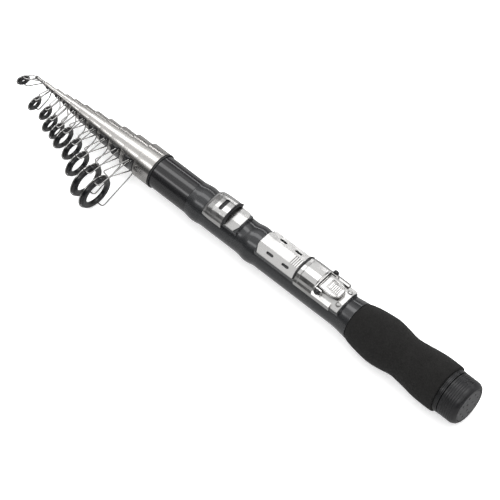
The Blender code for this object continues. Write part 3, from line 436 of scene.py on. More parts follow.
lining = finish_of("lining plastic", grain, ((0.012, 0.012, 0.013), (0.022, 0.022, 0.023)),
                   "Patches", (0.34, 0.5), "Patches", "Grain", 0.25, 0.00005, {}, 3600.0)
cap_black = finish_of("cap plastic", grain, ((0.009, 0.009, 0.010), (0.016, 0.016, 0.017)),
                      "Patches", (0.24, 0.36), "Patches", "Grain", 0.15, 0.00004, {}, 3000.0)
disc_grey = finish_of("end disc", grain, ((0.050, 0.050, 0.052), (0.075, 0.075, 0.077)),
                      "Patches", (0.40, 0.55), "Patches", "Grain", 0.3, 0.00006, {}, 2600.0)
# Painted shade: the cap's grooves and the disc's holes go darker where surfaces shade each other.
painted_corner_shade(cap_black, 1.6 * MM, (0.002, 0.002, 0.002))
painted_corner_shade(disc_grey, 1.2 * MM, (0.004, 0.004, 0.004))
blacks = (lacquer, tube_black, gunmetal, ceramic, lining, cap_black, disc_grey)
print("black finishes:", [finish.name for finish in blacks])

# %% [markdown]
# ## Foam
# The grip is closed-cell foam. Its skin is matt and full of tiny cut cells, so the bump comes
# from a cell pattern at two sizes, and the colour is a little lighter on the walls between the
# cells than inside them: painted shade in the cells' hollows. A weak sheen gives the dusty
# look of the foam at its edges.

# %% Foam material
foam = bpy.data.materials.new("black foam")
foam.use_nodes = True
tree = foam.node_tree
shader = tree.nodes["Principled BSDF"]
shader.inputs["Specular IOR Level"].default_value = 0.25
shader.inputs["Sheen Weight"].default_value = 0.02
shader.inputs["Sheen Roughness"].default_value = 0.6
where = stretched(tree, (1.0, 1.0, 1.0))
pores = tree.nodes.new("ShaderNodeTexVoronoi")
pores.inputs["Scale"].default_value = 1700.0
tree.links.new(where, pores.inputs["Vector"])
fine = noise(tree, where, 5200.0, 3.0, 0.6)
cloud = remap(tree, noise(tree, where, 150.0, 4.0), 0.35, 0.65)
depth = blend(tree, "ADD", pores.outputs["Distance"], fine)
# Painted shade: the colour is darker in the cells' hollows, where the pore pattern is low.
mix = tree.nodes.new("ShaderNodeMix")
mix.data_type = "RGBA"
mix.inputs["A"].default_value = (0.0035, 0.0034, 0.0033, 1.0)
mix.inputs["B"].default_value = (0.0120, 0.0116, 0.0112, 1.0)
tree.links.new(remap(tree, depth, 0.5, 1.2), mix.inputs["Factor"])
tree.links.new(mix.outputs["Result"], shader.inputs["Base Color"])
tree.links.new(remap(tree, cloud, 0.0, 1.0, 0.82, 0.95), shader.inputs["Roughness"])
relief = tree.nodes.new("ShaderNodeBump")
relief.inputs["Strength"].default_value = 0.55
relief.inputs["Distance"].default_value = 0.00022
tree.links.new(depth, relief.inputs["Height"])
tree.links.new(relief.outputs["Normal"], shader.inputs["Normal"])
print("foam nodes:", len(tree.nodes))

# %% [markdown]
# ## Paint the model's own pieces
# Every piece first takes a finish as it is. The plates, the rivets, the sliding hood and the
# linings keep the model's shape, and the others get a finer skin further on. The dictionary
# ties each material slot of the model to one finish.

# %% Carried-over nodes
BY_SLOT = {"polished_silver": polished, "satin_silver": satin, "bright_steel": steel,
           "glossy_black": lacquer, "blank_black": tube_black, "gunmetal": gunmetal,
           "liner_black": lining, "ring_black": ceramic, "foam_black": foam,
           "cap_black": cap_black, "inlay_grey": disc_grey}
SLOT_OF = {part["node"]: part["material_slot"] for part in frame["record"]["subparts"]}
BODY_OF = {node: body for body, nodes in frame["record"]["behaviour"]["bodies"].items()
           for node in nodes}
for node, shown in NODES.items():
    shown.data.materials.clear()
    shown.data.materials.append(BY_SLOT[SLOT_OF[node]])


def stands_for(piece, node, look=None):
    """The piece rides with the node's body, hides the node and takes its finish."""
    piece.data.materials.append(look or BY_SLOT[SLOT_OF[node]])
    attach(piece, BODY_OF[node])
    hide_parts(node)
    return piece


print("painted nodes:", len(NODES))

# %% [markdown]
# ## Silver sleeves and the mouth collar
# Each tube section ends in a polished metal sleeve, turned on a lathe, with its front edge
# broken so that it doesn't cut a finger. The sleeves are turned again here with ninety-six
# sides and rounded edges, which a bright reflection needs.

# %% Sleeves, collar and trim ring
def ring_shape(node, name, round_front, round_rear, sides=96):
    """A tube with rounded edges over a turned node."""
    x0, x1, inner, outer = measured(node)
    inner += 0.02 * MM
    corners = [(x0, inner), (x0, outer - round_front), (x0 + round_front * 0.6, outer),
               (x1, outer), (x1, inner)]
    shape = soften(corners, min(round_rear, 0.3 * (outer - inner)), closed=True)
    return stands_for(turned(name, shape, sides), node)


for k in range(1, 10):
    ring_shape("section_%d_sleeve" % k, "sleeve_%d_skin" % k, 0.22 * MM, 0.10 * MM)
ring_shape("mouth_collar", "collar_skin", 0.25 * MM, 0.15 * MM)
ring_shape("collar_trim_ring", "trim_skin", 0.25 * MM, 0.3 * MM)
print("largest sleeve radius, mm:", round(1000 * measured("section_9_sleeve")[3], 2))

# %% [markdown]
# ## The lacquered butt tube
# Behind the collar the thickest tube shows as a glossy black cylinder. It is turned down a
# little under the reel seat, where it can't be seen.

# %% Butt tube
x0, x1, bore, outer = measured("butt_blank")
x, radii = stations_of("butt_blank")
step_at = x[radii > outer - 0.05 * MM].max()
core = radii[(radii > bore + 0.3 * MM) & (radii < outer - 0.3 * MM)].max()
corners = [(x0, bore), (x0, outer), (step_at, outer), (step_at, core), (x1, core), (x1, bore)]
stands_for(turned("butt_tube_skin", soften(corners, 0.1 * MM, closed=True), 128), "butt_blank")
print("butt tube diameters, mm:", round(2000 * outer, 1), round(2000 * core, 1))

# %% [markdown]
# ## The sliding tubes
# Pulled out, the rod shows long black tubes that narrow towards the tip. Each is rolled from
# cloth and resin on a tapered bar, so its outline needs only the radii at its two ends. The
# last one, the tip, is solid, and its ends are simply closed.

# %% Sliding tubes
def end_radii(node):
    """Both ends of a tapered node: place along X, smallest and largest radius there."""
    x, radius = stations_of(node)
    ends = []
    for place in (x.min(), x.max()):
        near = radius[np.abs(x - place) < 0.1 * MM]
        ends.append((place, near.min(), near.max()))
    return ends


for k in range(1, 10):
    node = "section_%d_blank" % k
    (x0, inner_0, outer_0), (x1, inner_1, outer_1) = end_radii(node)
    corners = [(x0, inner_0), (x0, outer_0), (x1, outer_1), (x1, inner_1)]
    shape = soften(corners, 0.08 * MM, closed=True)
    stands_for(turned("section_%d_tube" % k, shape, 72), node)
    print("tube", k, "narrows to", round(2000 * outer_0, 2), "mm")
(x0, _, outer_0), (x1, _, outer_1) = end_radii("tip_blank")
stands_for(turned("tip_rod", [(x0, outer_0), (x1, outer_1)], 48, closed=False), "tip_blank")
print("tip narrows to", round(2000 * outer_0, 2), "mm")

# %% [markdown]
# ## The reel seat
# The seat's body is a smooth tube that swells twice and flares out towards the grip. Its
# outline passes through a few measured stations, and a Catmull-Rom curve joins them without a
# kink. Under the metal plates it carries two flat-topped blocks.

# %% Seat body
def smooth_curve(points, steps=8):
    """Catmull-Rom: q(t) = 0.5 (2b + (c-a) t + (2a-5b+4c-d) t^2 + (3b-a-3c+d) t^3)."""
    p = np.array([points[0]] + list(points) + [points[-1]], float)
    t = np.linspace(0, 1, steps, endpoint=False)[:, None]
    spans = []
    for i in range(len(p) - 3):
        a, b, c, d = p[i:i + 4]
        spans.append(0.5 * (2 * b + (c - a) * t + (2 * a - 5 * b + 4 * c - d) * t ** 2
                            + (3 * b - a - 3 * c + d) * t ** 3))
    return np.concatenate(spans + [p[-1:]])


SEAT_RADIUS = 12.05
stations = [(0.0, 12.15)]
for middle, peak in ((6.5, 12.9), (52.5, 13.1)):
    for share, rise in ((-5.5, 0.25), (-2.5, 0.8), (0.0, 1.0), (3.0, 0.7), (7.0, 0.0)):
        stations.append((middle + share, SEAT_RADIUS + (peak - SEAT_RADIUS) * rise))
plain = [(share, SEAT_RADIUS) for share in (18, 24, 32, 40, 44, 64, 72, 84, 96, 108, 118)]
stations = sorted(stations + plain)
stations += [(125.0, 12.05), (129.5, 12.35), (133.45, 12.79), (138.0, 13.4)]
outline = smooth_curve(stations) * MM
outline[:, 0] += SEAT_START
bore = 11.3 * MM
profile = [(outline[0, 0], bore)] + list(outline) + [(outline[-1, 0], bore)]
seat = turned("seat_skin", profile, 128)
stands_for(seat, "reel_seat")


def extruded(name, outline, x0, x1, edge):
    """A straight bar: every point of the softened outline (y, z) at four stations along X,
    the outer two pulled in by `edge` towards the middle for a rounded end."""
    shape = soften(outline, 0.3 * MM, closed=True)
    middle = shape.mean(0)
    shrunk = middle + (shape - middle) * (1 - edge / np.abs(shape - middle).max())
    rows = [(x0, shrunk), (x0 + edge, shape), (x1 - edge, shape), (x1, shrunk)]
    points = np.concatenate([np.column_stack([np.full(len(s), x), s]) for x, s in rows])
    count = len(shape)
    faces = grid_faces(4, count)
    faces += [tuple(range(count)), tuple(range(3 * count, 4 * count))]
    return new_piece(name, points, faces, smooth=False)


FLAT_HALF = 3.4
PLATE_SLOPE = 0.358
BLOCK_FOOT = 7.0


def block(name, half, top, x0, x1):
    """The flat-topped block under a plate, its top sloping like the plate; sizes in mm."""
    fall = (half - FLAT_HALF) * PLATE_SLOPE
    outline = [(-half, BLOCK_FOOT), (-half, top - fall), (-FLAT_HALF, top), (FLAT_HALF, top),
               (half, top - fall), (half, BLOCK_FOOT)]
    outline = [(y * MM, z * MM + AXIS_Z) for y, z in outline]
    bar = extruded(name, outline, SEAT_START + x0 * MM, SEAT_START + x1 * MM, 0.15 * MM)
    bar.data.materials.append(gunmetal)
    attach(bar, BODY_OF["reel_seat"])


block("front_block_skin", 8.5, 13.8, 13.4, 42.2)
block("rear_block_skin", 9.8, 13.4, 59.0, 129.5)
print("seat outline points:", len(outline))

# %% [markdown]
# ## Ceramic rings in steel hoops
# A guide's ring is a black ceramic with rounded lips and a shallow groove on its face, pressed
# into a flat steel hoop. The ring stands towards the butt and the hoop lies on the tip side.
# Each one is turned about its own axis and then laid at its guide's lean.

# %% Rings
def ring_frame(x, out, lean):
    """Columns: the ring's own axis, outwards, and across; then its centre."""
    axis = np.array([math.cos(lean), 0, 0]) + OUT * math.sin(lean)
    outwards = OUT * math.cos(lean) - np.array([math.sin(lean), 0, 0])
    centre = np.array([x, 0, AXIS_Z]) + OUT * out
    return np.column_stack([axis, outwards, np.cross(axis, outwards), centre])


def ring_half(size):
    """Half the length of a ring along its axis."""
    return (1.7 * MM + 0.07 * size) / 2


def ring_outline(size):
    """Closed profile (along, radius) of a ceramic ring: rounded lips and a face groove."""
    width = 1.9 * MM + 0.09 * size
    half = ring_half(size)
    outer = size / 2 - 0.1 * MM
    inner = size / 2 - width
    lip = 0.25 * width
    groove = inner + 0.52 * width
    return [(-half, inner + lip), (-half * 0.55, inner), (half * 0.55, inner),
            (half * 0.92, inner + 0.14 * width), (half, groove - 0.10 * width),
            (half * 0.78, groove), (half * 0.97, groove + 0.10 * width),
            (half * 0.80, outer - 0.12 * width), (half * 0.45, outer), (-half * 0.8, outer),
            (-half, outer - lip)]


def make_ring(name, node, size, x, out, lean):
    """Turns one ceramic ring and lays it at its place."""
    shape = soften(ring_outline(size), 0.4 * MM, closed=True)
    stands_for(turned(name, shape, 96, place=ring_frame(x, out, lean)), node)


for k, (size, out, behind) in enumerate(GUIDES, 1):
    x = (FRONTS[k - 1] + behind) * MM - BED_STATION
    make_ring("ceramic_%d" % k, "guide_%d_ring" % k, size * MM, x, out * MM, LEAN)
make_ring("ceramic_tip", "tip_top_ring", 8 * MM, -4.4 * MM - BED_STATION, 7.6 * MM, TIP_LEAN)
print("rings:", len(GUIDES) + 1)

# %% [markdown]
# ## Guide frames
# A frame is one soldered piece: a flat hoop, two front wires that meet at the hoop's crown, two
# rear legs that rise behind the ring and kink forward to the hoop's sides, and a foot under
# the sleeve. The wires' bends are softened, as a bending tool leaves them.

# %% Frame parts
HOOP_WIDTH = 0.8 * MM
HOOP_LENGTH = 0.8 * MM
HOOP_SET_BACK = 0.25 * MM
WIRE_RADIUS = 0.43 * MM
FOOT_THICKNESS = 0.5 * MM


def hoop_part(size, place):
    """Flat hoop round the ring, a little behind its tip side, with rounded edges."""
    inner, outer = size / 2, size / 2 + HOOP_WIDTH
    low = HOOP_SET_BACK - ring_half(size)
    high = low + HOOP_LENGTH
    corners = [(low, inner), (low, outer), (high, outer), (high, inner)]
    shape = soften(corners, 0.16 * MM, closed=True)
    points = round_x(shape, 96) @ place[:, :3].T + place[:, 3]
    return points, grid_faces(len(shape), 96, close_rows=True)


def at(x, out, side):
    """A point given by its place along the rod, outwards and sideways."""
    return np.array([x, 0, AXIS_Z]) + OUT * out + SIDE * side


def on_hoop(place, size, angle, sign):
    """A point on the hoop's rim; angle counts from the outermost point."""
    radius = size / 2 + HOOP_WIDTH
    centre, axis, outwards = place[:, 3], place[:, 0], place[:, 1]
    across = radius * math.sin(angle) * sign
    middle = centre + axis * (HOOP_SET_BACK + HOOP_LENGTH / 2 - ring_half(size))
    return middle + outwards * radius * math.cos(angle) + SIDE * across


def foot_part(radius, x, length, half_angle=math.radians(44), steps=16):
    """Saddle plate under a sleeve: inner and outer arcs, swept along X."""
    angle = np.linspace(-half_angle, half_angle, steps)
    inner, outer = radius, radius + FOOT_THICKNESS
    arc = [(inner, a) for a in angle] + [(outer, a) for a in angle[::-1]]
    rows = []
    for place in (x - length / 2, x + length / 2):
        rows.append(np.array([at(place, r * math.cos(a), r * math.sin(a)) for r, a in arc]))
    count = len(arc)
    faces = grid_faces(2, count)
    for start in (0, count):
        for i in range(steps - 1):
            far = 2 * steps - 1 - i
            face = (start + i, start + i + 1, start + far - 1, start + far)
            faces.append(face if start == 0 else tuple(reversed(face)))
    return np.concatenate(rows), faces


print("points in a foot plate:", len(foot_part(5 * MM, 0.0, 6 * MM)[0]))

# %% [markdown]
# The nine frames differ only in ring size, height and the sleeve they stand on, so one loop
# makes them all from the same rules.

# %% Nine frames
for k, (size, out, behind) in enumerate(GUIDES, 1):
    size, out = size * MM, out * MM
    front = FRONTS[k - 1] * MM - BED_STATION
    x = front + behind * MM
    place = ring_frame(x, out, LEAN)
    parts = [hoop_part(size, place)]
    sleeve = measured("section_%d_sleeve" % k)[3]
    foot_radius = sleeve + 0.1 * MM
    exposed = EXPOSED[k - 1] * MM
    foot_middle, foot_length = front + exposed * 0.58, exposed * 0.62
    parts.append(foot_part(foot_radius, foot_middle, foot_length))
    hoop = size / 2 + HOOP_WIDTH
    reach = 0.36 * hoop
    root = math.radians(36)
    root_radius = foot_radius + FOOT_THICKNESS + 0.05 * MM
    root_out, root_side = root_radius * math.cos(root), root_radius * math.sin(root)
    crown = out - hoop
    rear = foot_middle + foot_length * 0.30
    fore = foot_middle + foot_length * 0.05
    for sign in (1, -1):
        landing = on_hoop(place, size, math.pi - math.radians(24), sign)
        path = [at(fore, root_out, sign * root_side),
                at(fore, root_out + 0.6 * MM, sign * root_side),
                at(x - reach, crown + 0.2 * MM, sign * 0.34 * hoop), landing]
        parts.append(wire(path, WIRE_RADIUS, 1.6 * MM))
        spread = sign * max(0.70 * hoop, root_side + 0.45 * MM)
        shoulder = max(root_out, crown * 0.36) + 1.0 * MM
        path = [at(rear, root_out, sign * root_side),
                at(rear + 0.3 * MM, root_out + 0.7 * MM, sign * (root_side + 0.2 * MM)),
                at(x + reach, shoulder + 0.8 * MM, spread), at(x + reach, out, sign * hoop),
                on_hoop(place, size, math.pi / 2, sign)]
        parts.append(wire(path, WIRE_RADIUS, 2.4 * MM))
    frame_piece = stands_for(joined("guide_%d_wirework" % k, parts, (1,)), "guide_%d_frame" % k)
    frame_piece.data.materials.append(lacquer)
print("frames made:", len(GUIDES))

# %% [markdown]
# ## The tip-top
# The last guide is a short steel tube glued on the tip, with its hoop ahead of it on four
# wires. It leans further forward than the others, so that the line leaves it without touching
# the tube.

# %% Tip-top frame
size, out = 8 * MM, 7.6 * MM
place = ring_frame(-4.4 * MM - BED_STATION, out, TIP_LEAN)
TUBE_LENGTH, TUBE_RADIUS, TUBE_BORE = 7.7 * MM, 1.2 * MM, 1.05 * MM
TIP_WIRE_RADIUS = 0.38 * MM
tube_shape = soften([(0.0, TUBE_BORE), (0.0, TUBE_RADIUS), (TUBE_LENGTH, TUBE_RADIUS),
                     (TUBE_LENGTH, TUBE_BORE)], 0.05 * MM, closed=True)
points = round_x(tube_shape, 48) + np.array([-BED_STATION, 0.0, AXIS_Z])
parts = [hoop_part(size, place), (points, grid_faces(len(tube_shape), 48, close_rows=True))]
tube_end = TUBE_LENGTH - BED_STATION
for sign in (1, -1):
    crown = on_hoop(place, size, math.pi - math.radians(35), sign)
    path = [at(1.4 * MM - BED_STATION, 0.1 * MM, sign * TUBE_RADIUS),
            at(-1.6 * MM - BED_STATION, 1.4 * MM, sign * 2.3 * MM), crown]
    parts.append(wire(path, TIP_WIRE_RADIUS, 1.2 * MM))
    side = on_hoop(place, size, math.pi / 2, sign)
    path = [at(tube_end - 1.2 * MM, 0.2 * MM, sign * TUBE_RADIUS),
            at(side[0] + 2.6 * MM, out, sign * (size / 2 + 0.75 * MM)), side]
    parts.append(wire(path, TIP_WIRE_RADIUS, 1.6 * MM))
stands_for(joined("tip_top_wirework", parts), "tip_top_frame")
print("tip-top parts:", len(parts))

# %% [markdown]
# ## The fixed front hood
# The hood is pressed from thin sheet. Its section is an arch with a crease on each side, and it
# rises from the nose to the mouth. Here an outer and an inner grid lie one wall apart, a mask
# leaves out the round-ended slot, and a strip of faces closes every open edge.

# %% Front hood
HOOD_START, HOOD_LENGTH = 14.9, 16.1
HOOD_FOOT, HOOD_SIDE, HOOD_WALL = 9.2, 10.88, 0.73
SLOT_AT, SLOT_REACH, SLOT_HALF = 0.62, 3.25, 1.5


def shelled(name, outer, inner, keep):
    """A closed sheet from two (rows, columns, 3) grids; cells where keep is False are open."""
    rows, columns = outer.shape[:2]
    points = np.concatenate([outer.reshape(-1, 3), inner.reshape(-1, 3)])
    back = rows * columns
    wide = np.zeros((rows + 1, columns + 1), bool)
    wide[1:-1, 1:-1] = keep
    i, j = np.nonzero(keep)
    a = i * columns + j
    top = np.stack([a, a + 1, a + columns + 1, a + columns], -1)
    quads = [top, top[:, ::-1] + back]
    for di, dj, p, q in ((0, -1, columns, 0), (0, 1, 1, columns + 1), (-1, 0, 0, 1),
                         (1, 0, columns + 1, columns)):
        edge = a[~wide[i + 1 + di, j + 1 + dj]]
        quads.append(np.stack([edge + q, edge + p, edge + p + back, edge + q + back], -1))
    return new_piece(name, points, [tuple(f) for f in np.concatenate(quads).tolist()], False)


def arch(side, crown, count=121):
    """Evenly spaced points (y, z) of a hood's section, from its foot at +Y to the one at -Y."""
    shape = [(1.0, 0.0), (1.0, 0.35), (0.895, 0.49), (0.80, 0.66), (0.63, 0.86), (0.34, 0.97)]
    half = [(y * side, HOOD_FOOT + z * (crown - HOOD_FOOT)) for y, z in shape]
    whole = soften(half + [(0.0, crown)] + [(-y, z) for y, z in half[::-1]], 0.9, steps=5)
    length = np.concatenate([[0], np.cumsum(np.linalg.norm(np.diff(whole, axis=0), axis=1))])
    even = np.linspace(0, length[-1], count)
    return np.column_stack([np.interp(even, length, whole[:, k]) for k in (0, 1)])


def inwards(section, amount):
    """The section moved inwards by an amount along its normals."""
    run = np.gradient(section, axis=0)
    run = run / np.linalg.norm(run, axis=1)[:, None]
    return section + amount * np.column_stack([-run[:, 1], run[:, 0]])


x_of = np.linspace(HOOD_START, HOOD_START + HOOD_LENGTH, 60)
share_of = (x_of - HOOD_START) / HOOD_LENGTH
crown_of = np.interp(share_of, [0, 0.10, 0.35, 0.7, 1.0], [15.6, 16.9, 18.0, 18.8, 19.2]) - 0.02
side_of = HOOD_SIDE * np.interp(share_of, [0, 0.10, 0.35], [0.955, 0.975, 1.0])
sections = [arch(side, crown) for side, crown in zip(side_of, crown_of)]
inner_sections = [inwards(section, HOOD_WALL) for section in sections]


def lay(found):
    """Grid of points in metres from sections at the stations x_of."""
    x = np.repeat(x_of[:, None], len(found[0]), 1) * MM + SEAT_START
    yz = np.array(found) * MM
    return np.stack([x, yz[..., 0], yz[..., 1] + AXIS_Z], -1)


middle = np.array(sections)
mid_x = (x_of[:-1, None] + x_of[1:, None]) / 2 - (HOOD_START + SLOT_AT * HOOD_LENGTH)
mid_y = (middle[:-1, :-1, 0] + middle[1:, 1:, 0]) / 2
in_slot = np.hypot(mid_x, np.clip(np.abs(mid_y) - SLOT_REACH, 0, None)) < SLOT_HALF
hood = shelled("front_hood_skin", lay(sections), lay(inner_sections), ~in_slot)
hood.data.polygons.foreach_set("use_smooth", np.ones(len(hood.data.polygons), bool))
hood.data.set_sharp_from_angle(angle=math.radians(50))
stands_for(hood, "front_hood")
print("cells left out for the slot:", int(in_slot.sum()))

# %% [markdown]
# ## The cam lever
# The lever is a small casting: a round cam at the pin, a flat arm that narrows in a soft curve
# to the rear, and a thumb pad with ribs, set in a shallow trough. Each section across it is a
# superellipse, and the ribs are a wave added to the top.

# %% Cam lever
pivot = np.array([40.3 * MM, 2.4 * MM])
tops = smooth_curve([(-2.1, 0.1), (-1.6, 1.35), (0.0, 2.05), (2.0, 2.0), (5.0, 1.8), (8.5, 1.6),
                     (11.5, 1.2), (13.0, 0.75), (13.55, 0.2)], 10)
lows = smooth_curve([(-2.1, -0.1), (-1.6, -1.35), (0.0, -2.05), (2.2, -1.6), (5.0, -1.0),
                     (9.0, -0.9), (11.5, -1.0), (13.0, -0.9), (13.55, -0.2)], 10)
x_of = np.linspace(-2.08, 13.53, 110)
high_of = np.interp(x_of, tops[:, 0], tops[:, 1])
low_of = np.interp(x_of, lows[:, 0], lows[:, 1])
tail = np.clip((x_of - 5.0) / 8.7, 0, 1)
half_of = 6.35 * np.power(1 - 0.995 * tail ** 2.6, 0.42)
phi = np.linspace(0, 2 * np.pi, 120, endpoint=False)
cos, sin = np.cos(phi), np.sin(phi)
y = half_of[:, None] * np.sign(cos) * np.abs(cos) ** 0.45
mid, half = (high_of + low_of) / 2, (high_of - low_of) / 2
z = mid[:, None] + half[:, None] * np.sign(sin) * np.abs(sin) ** 0.35
x = np.repeat(x_of[:, None], len(phi), 1)
upper = np.clip(sin * 4, 0, 1)
pad = np.clip((3.1 - np.abs(y)) / 0.25, 0, 1) * np.clip((x - 3.4) / 0.3, 0, 1)
trough = np.clip((4.0 - np.abs(y)) / 0.25, 0, 1) * np.clip((x - 2.6) / 0.3, 0, 1) - pad
ribs = np.clip(np.sin((x - 5.2) * 2 * np.pi / 1.3) * 2, -1, 0)
ribs = ribs * pad * (x > 5.0) * (x < 11.5)
z = z - upper * (0.55 * np.clip(trough, 0, 1) * (x < 12.0) - 0.35 * ribs)
points = np.stack([pivot[0] + x * MM, y * MM, pivot[1] + z * MM], -1)
faces = grid_faces(len(x_of), len(phi))
faces += [tuple(range(len(phi))), tuple(range((len(x_of) - 1) * len(phi), len(x_of) * len(phi)))]
lever = new_piece("lever_skin", points, faces)
lever.data.set_sharp_from_angle(angle=math.radians(60))
stands_for(lever, "lock_lever")
print("lever points:", len(lever.data.vertices))

# %% [markdown]
# ## The foam grip
# The grip is a soft piece, turned from a block of foam: a bulge for the palm, a waist and a
# thicker rear end. Real foam is never quite round, so its radius gets a faint waviness from a
# few sines whose strength stays far below a millimetre.

# %% Foam grip
x0, x1, bore, widest = measured("foam_grip")
keys = [(0.0, 12.7), (0.004, 13.1), (0.012, 13.5), (0.05, 14.5), (0.14, 15.7), (0.29, 16.8),
        (0.40, 16.0), (0.52, 14.6), (0.64, 15.3), (0.80, 16.8), (0.90, 17.1), (0.985, 16.95),
        (0.996, 16.6), (1.0, 16.2)]
outline = smooth_curve([(x0 + share * (x1 - x0), r * MM) for share, r in keys], 12)
profile = np.array([(x0, bore + 0.02 * MM)] + list(outline) + [(x1, bore + 0.02 * MM)])
sides = 160
angle = np.linspace(0, 2 * np.pi, sides, endpoint=False)
u = (profile[:, :1] - x0) / (x1 - x0)
wave = (np.sin(7 * u * np.pi + 2 * angle) + np.sin(11 * u * np.pi - 3 * angle + 1.3)) * 0.5
soft = np.clip(np.minimum(u, 1 - u) * 30, 0, 1)
radius = profile[:, 1:] - 0.05 * MM * (1 + wave) * soft
points = np.stack([np.repeat(profile[:, :1], sides, 1), radius * np.cos(angle),
                   radius * np.sin(angle) + AXIS_Z], -1)
grip = new_piece("foam_skin", points, grid_faces(len(profile), sides, close_rows=True))
stands_for(grip, "foam_grip")
print("grip points:", len(grip.data.vertices))

# %% [markdown]
# ## The butt cap
# The end is a moulded cap with fine rings turned into its side and a rounded rim. The short
# collar in front of it matches. The rings are grooves a third of a millimetre deep, each a
# dip in the profile.

# %% Collar and cap
def grooved(x0, x1, radius, grooves, depth, width):
    """Straight outline with evenly spaced V grooves, as a list of (along, radius)."""
    made = []
    for i in range(grooves):
        middle = x0 + (x1 - x0) * (i + 0.5) / grooves
        made += [(middle - width, radius), (middle, radius - depth), (middle + width, radius)]
    return made


x0, x1, bore, outer = measured("grip_end_collar")
shape = [(x0, bore), (x0, outer - 0.3 * MM), (x0 + 0.3 * MM, outer)]
shape += grooved(x0 + 0.4 * MM, x1 - 0.2 * MM, outer, 2, 0.25 * MM, 0.3 * MM)
shape += [(x1, outer), (x1, bore)]
stands_for(turned("end_collar_skin", soften(shape, 0.1 * MM, closed=True), 128), "grip_end_collar")

low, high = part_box("butt_cap")
face = high.x
CAP_LENGTH, PLUG_LENGTH = 13.7 * MM, 15.0 * MM
front = face - CAP_LENGTH
outer = 15.4 * MM
plug = 9.35 * MM
hollow = 11.9 * MM
floor_at = face - 1.5 * MM
shape = [(front - PLUG_LENGTH, 0.3 * MM), (front - PLUG_LENGTH, plug), (front, plug),
         (front, outer - 0.4 * MM), (front + 0.4 * MM, outer)]
shape += grooved(front + 0.8 * MM, front + 10.4 * MM, outer, 6, 0.32 * MM, 0.5 * MM)
shape += [(face - 2.6 * MM, outer - 0.3 * MM), (face - 1.0 * MM, outer - 1.2 * MM),
          (face, outer - 2.6 * MM), (face, hollow), (floor_at, hollow), (floor_at, 0.3 * MM)]
cap = turned("cap_skin", soften(shape, 0.16 * MM), 128, closed=False)
stands_for(cap, "butt_cap")
print("cap face at x =", round(1000 * face, 1), "mm")

# %% [markdown]
# ## The end disc
# Inside the cap's rim lies a grey disc with a ring of small blind holes. The disc is a grid in
# polar form: radius and angle. Where a point falls inside a hole it is pushed in.

# %% End disc
low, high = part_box("cap_inlay")
rim = (high.y - low.y) / 2
rings_of, sides = 90, 240
r = np.linspace(0.05 * MM, rim - 0.02 * MM, rings_of)[:, None]
a = np.linspace(0, 2 * np.pi, sides, endpoint=False)[None, :]
y, z = r * np.cos(a), r * np.sin(a)
push = np.zeros_like(y)
holes = [(8.4 * MM, 2 * np.pi * i / 8) for i in range(8)]
holes += [(3.4 * MM, 2 * np.pi * i / 3) for i in range(3)]
for far, turn in holes:
    gap = np.hypot(y - far * math.cos(turn), z - far * math.sin(turn))
    push = np.maximum(push, np.clip((0.85 * MM - gap) / (0.25 * MM), 0, 1))
x = high.x - 0.12 * MM - 0.7 * MM * push
top = np.stack([x, y, z + AXIS_Z], -1).reshape(-1, 3)
bottom = np.stack([np.full(sides, low.x + 0.1 * MM), (rim - 0.02 * MM) * np.cos(a[0]),
                   (rim - 0.02 * MM) * np.sin(a[0]) + AXIS_Z], -1)
points = np.concatenate([top, bottom])
faces = grid_faces(rings_of + 1, sides)
faces += [tuple(range(sides)), tuple(range(rings_of * sides, (rings_of + 1) * sides))]
stands_for(new_piece("end_disc", points, faces), "cap_inlay")
print("holes in the disc:", len(holes))

# %% [markdown]
# ## A pale studio
# Polished metal shows only what stands around it. The surround is bright overhead and darker in
# a band near the horizon, which draws the dark lines along the sleeves, and the floor is nearly
# white, so that the black tubes stand out with hardly a shadow.

# %% Floor and surround
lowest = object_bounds()[0].z
mesh = bpy.data.meshes.new("floor")
far = 3.0
mesh.from_pydata([(-far, -far, lowest), (far, -far, lowest), (far, far, lowest),
                  (-far, far, lowest)], [], [(0, 1, 2, 3)])
floor = bpy.data.objects.new("floor", mesh)
bpy.context.scene.collection.objects.link(floor)
paper = finish_of("studio paper", grain, ((0.90, 0.90, 0.90), (0.88, 0.88, 0.88)), "Patches",
                  (0.7, 0.8), "Patches", "Grain", 0.05, 0.0001, {"Specular IOR Level": 0.1,
                   "Emission Color": (1.0, 1.0, 1.0, 1.0), "Emission Strength": 0.45}, 400.0)
floor.data.materials.append(paper)
floor.visible_glossy = False

bpy.context.scene.view_settings.view_transform = "Standard"
world = bpy.data.worlds.new("studio")
bpy.context.scene.world = world
world.use_nodes = True
sky = world.node_tree
place = sky.nodes.new("ShaderNodeTexCoord")
split = sky.nodes.new("ShaderNodeSeparateXYZ")
sky.links.new(place.outputs["Generated"], split.inputs["Vector"])
ramp = sky.nodes.new("ShaderNodeValToRGB")
ramp.color_ramp.elements[0].position = 0.0
ramp.color_ramp.elements[0].color = (0.45, 0.45, 0.45, 1)
ramp.color_ramp.elements[1].position = 1.0
ramp.color_ramp.elements[1].color = (0.80, 0.80, 0.80, 1)
for spot, grey in ((0.06, 0.10), (0.28, 0.03), (0.42, 0.08), (0.58, 0.40), (0.74, 0.95),
                   (0.88, 0.70)):
    element = ramp.color_ramp.elements.new(spot)
    element.color = (grey, grey, grey, 1)
sky.links.new(split.outputs["Z"], ramp.inputs["Fac"])
back = sky.nodes["Background"]
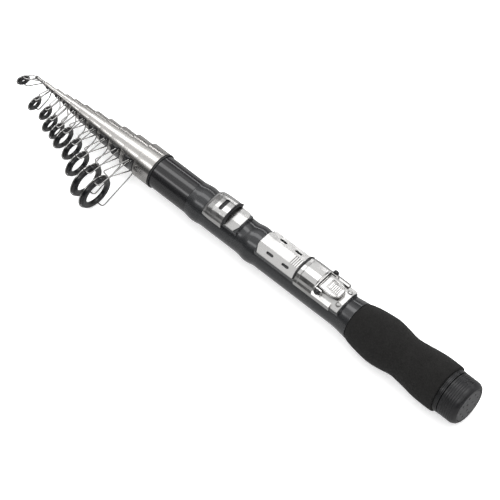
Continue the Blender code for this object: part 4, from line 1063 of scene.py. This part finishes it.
back.inputs["Strength"].default_value = 0.9
sky.links.new(ramp.outputs["Color"], back.inputs["Color"])
print("floor at", round(1000 * lowest, 1), "mm")

# %% [markdown]
# ## Lamps
# One broad lamp overhead gives the soft base light. Two long narrow lamps lie along the rod
# and draw the long highlights on the lacquer, and a small one behind lifts the rims.

# %% Lamps
def lamp(name, place, aim, size, power):
    """A rectangular lamp at `place`, facing `aim`."""
    data = bpy.data.lights.new(name, "AREA")
    data.shape = "RECTANGLE"
    data.size, data.size_y = size
    data.energy = power
    made = bpy.data.objects.new(name, data)
    made.location = place
    direction = Vector(aim) - Vector(place)
    made.rotation_euler = direction.to_track_quat("-Z", "Y").to_euler()
    bpy.context.scene.collection.objects.link(made)
    return made


base = lamp("overhead", (0.1, 0.1, 1.4), (0, 0, 0), (2.4, 2.0), 26.0)
base.visible_glossy = False
lamp("front strip", (0.1, -0.75, 0.95), (0, 0, 0), (1.8, 0.26), 2.6)
lamp("top strip", (-0.05, 0.30, 1.0), (0, 0, 0), (1.8, 0.40), 4.0)
lamp("back strip", (0.0, 0.9, 0.35), (0, 0, 0), (1.8, 0.12), 1.6)
print("lamps:", len(bpy.data.lights))

# %% [markdown]
# ## Camera
# The camera looks down on the rod from the butt's side with a long lens, so that the rod runs
# from the upper left to the lower right.

# %% Camera
AZIMUTH, ELEVATION = math.radians(42.1), math.radians(57.5)
AIM = Vector((-0.019, -0.006, -0.015))
back = Vector((math.sin(AZIMUTH) * math.cos(ELEVATION), -math.cos(AZIMUTH) * math.cos(ELEVATION),
               math.sin(ELEVATION)))
lens = bpy.data.cameras.new("camera")
lens.lens = 216.0
lens.sensor_width = 36.0
lens.clip_start, lens.clip_end = 0.1, 20.0
camera = bpy.data.objects.new("camera", lens)
camera.location = AIM + back * 1.92
camera.rotation_euler = (-back).to_track_quat("-Z", "Y").to_euler()
bpy.context.scene.collection.objects.link(camera)
bpy.context.scene.camera = camera
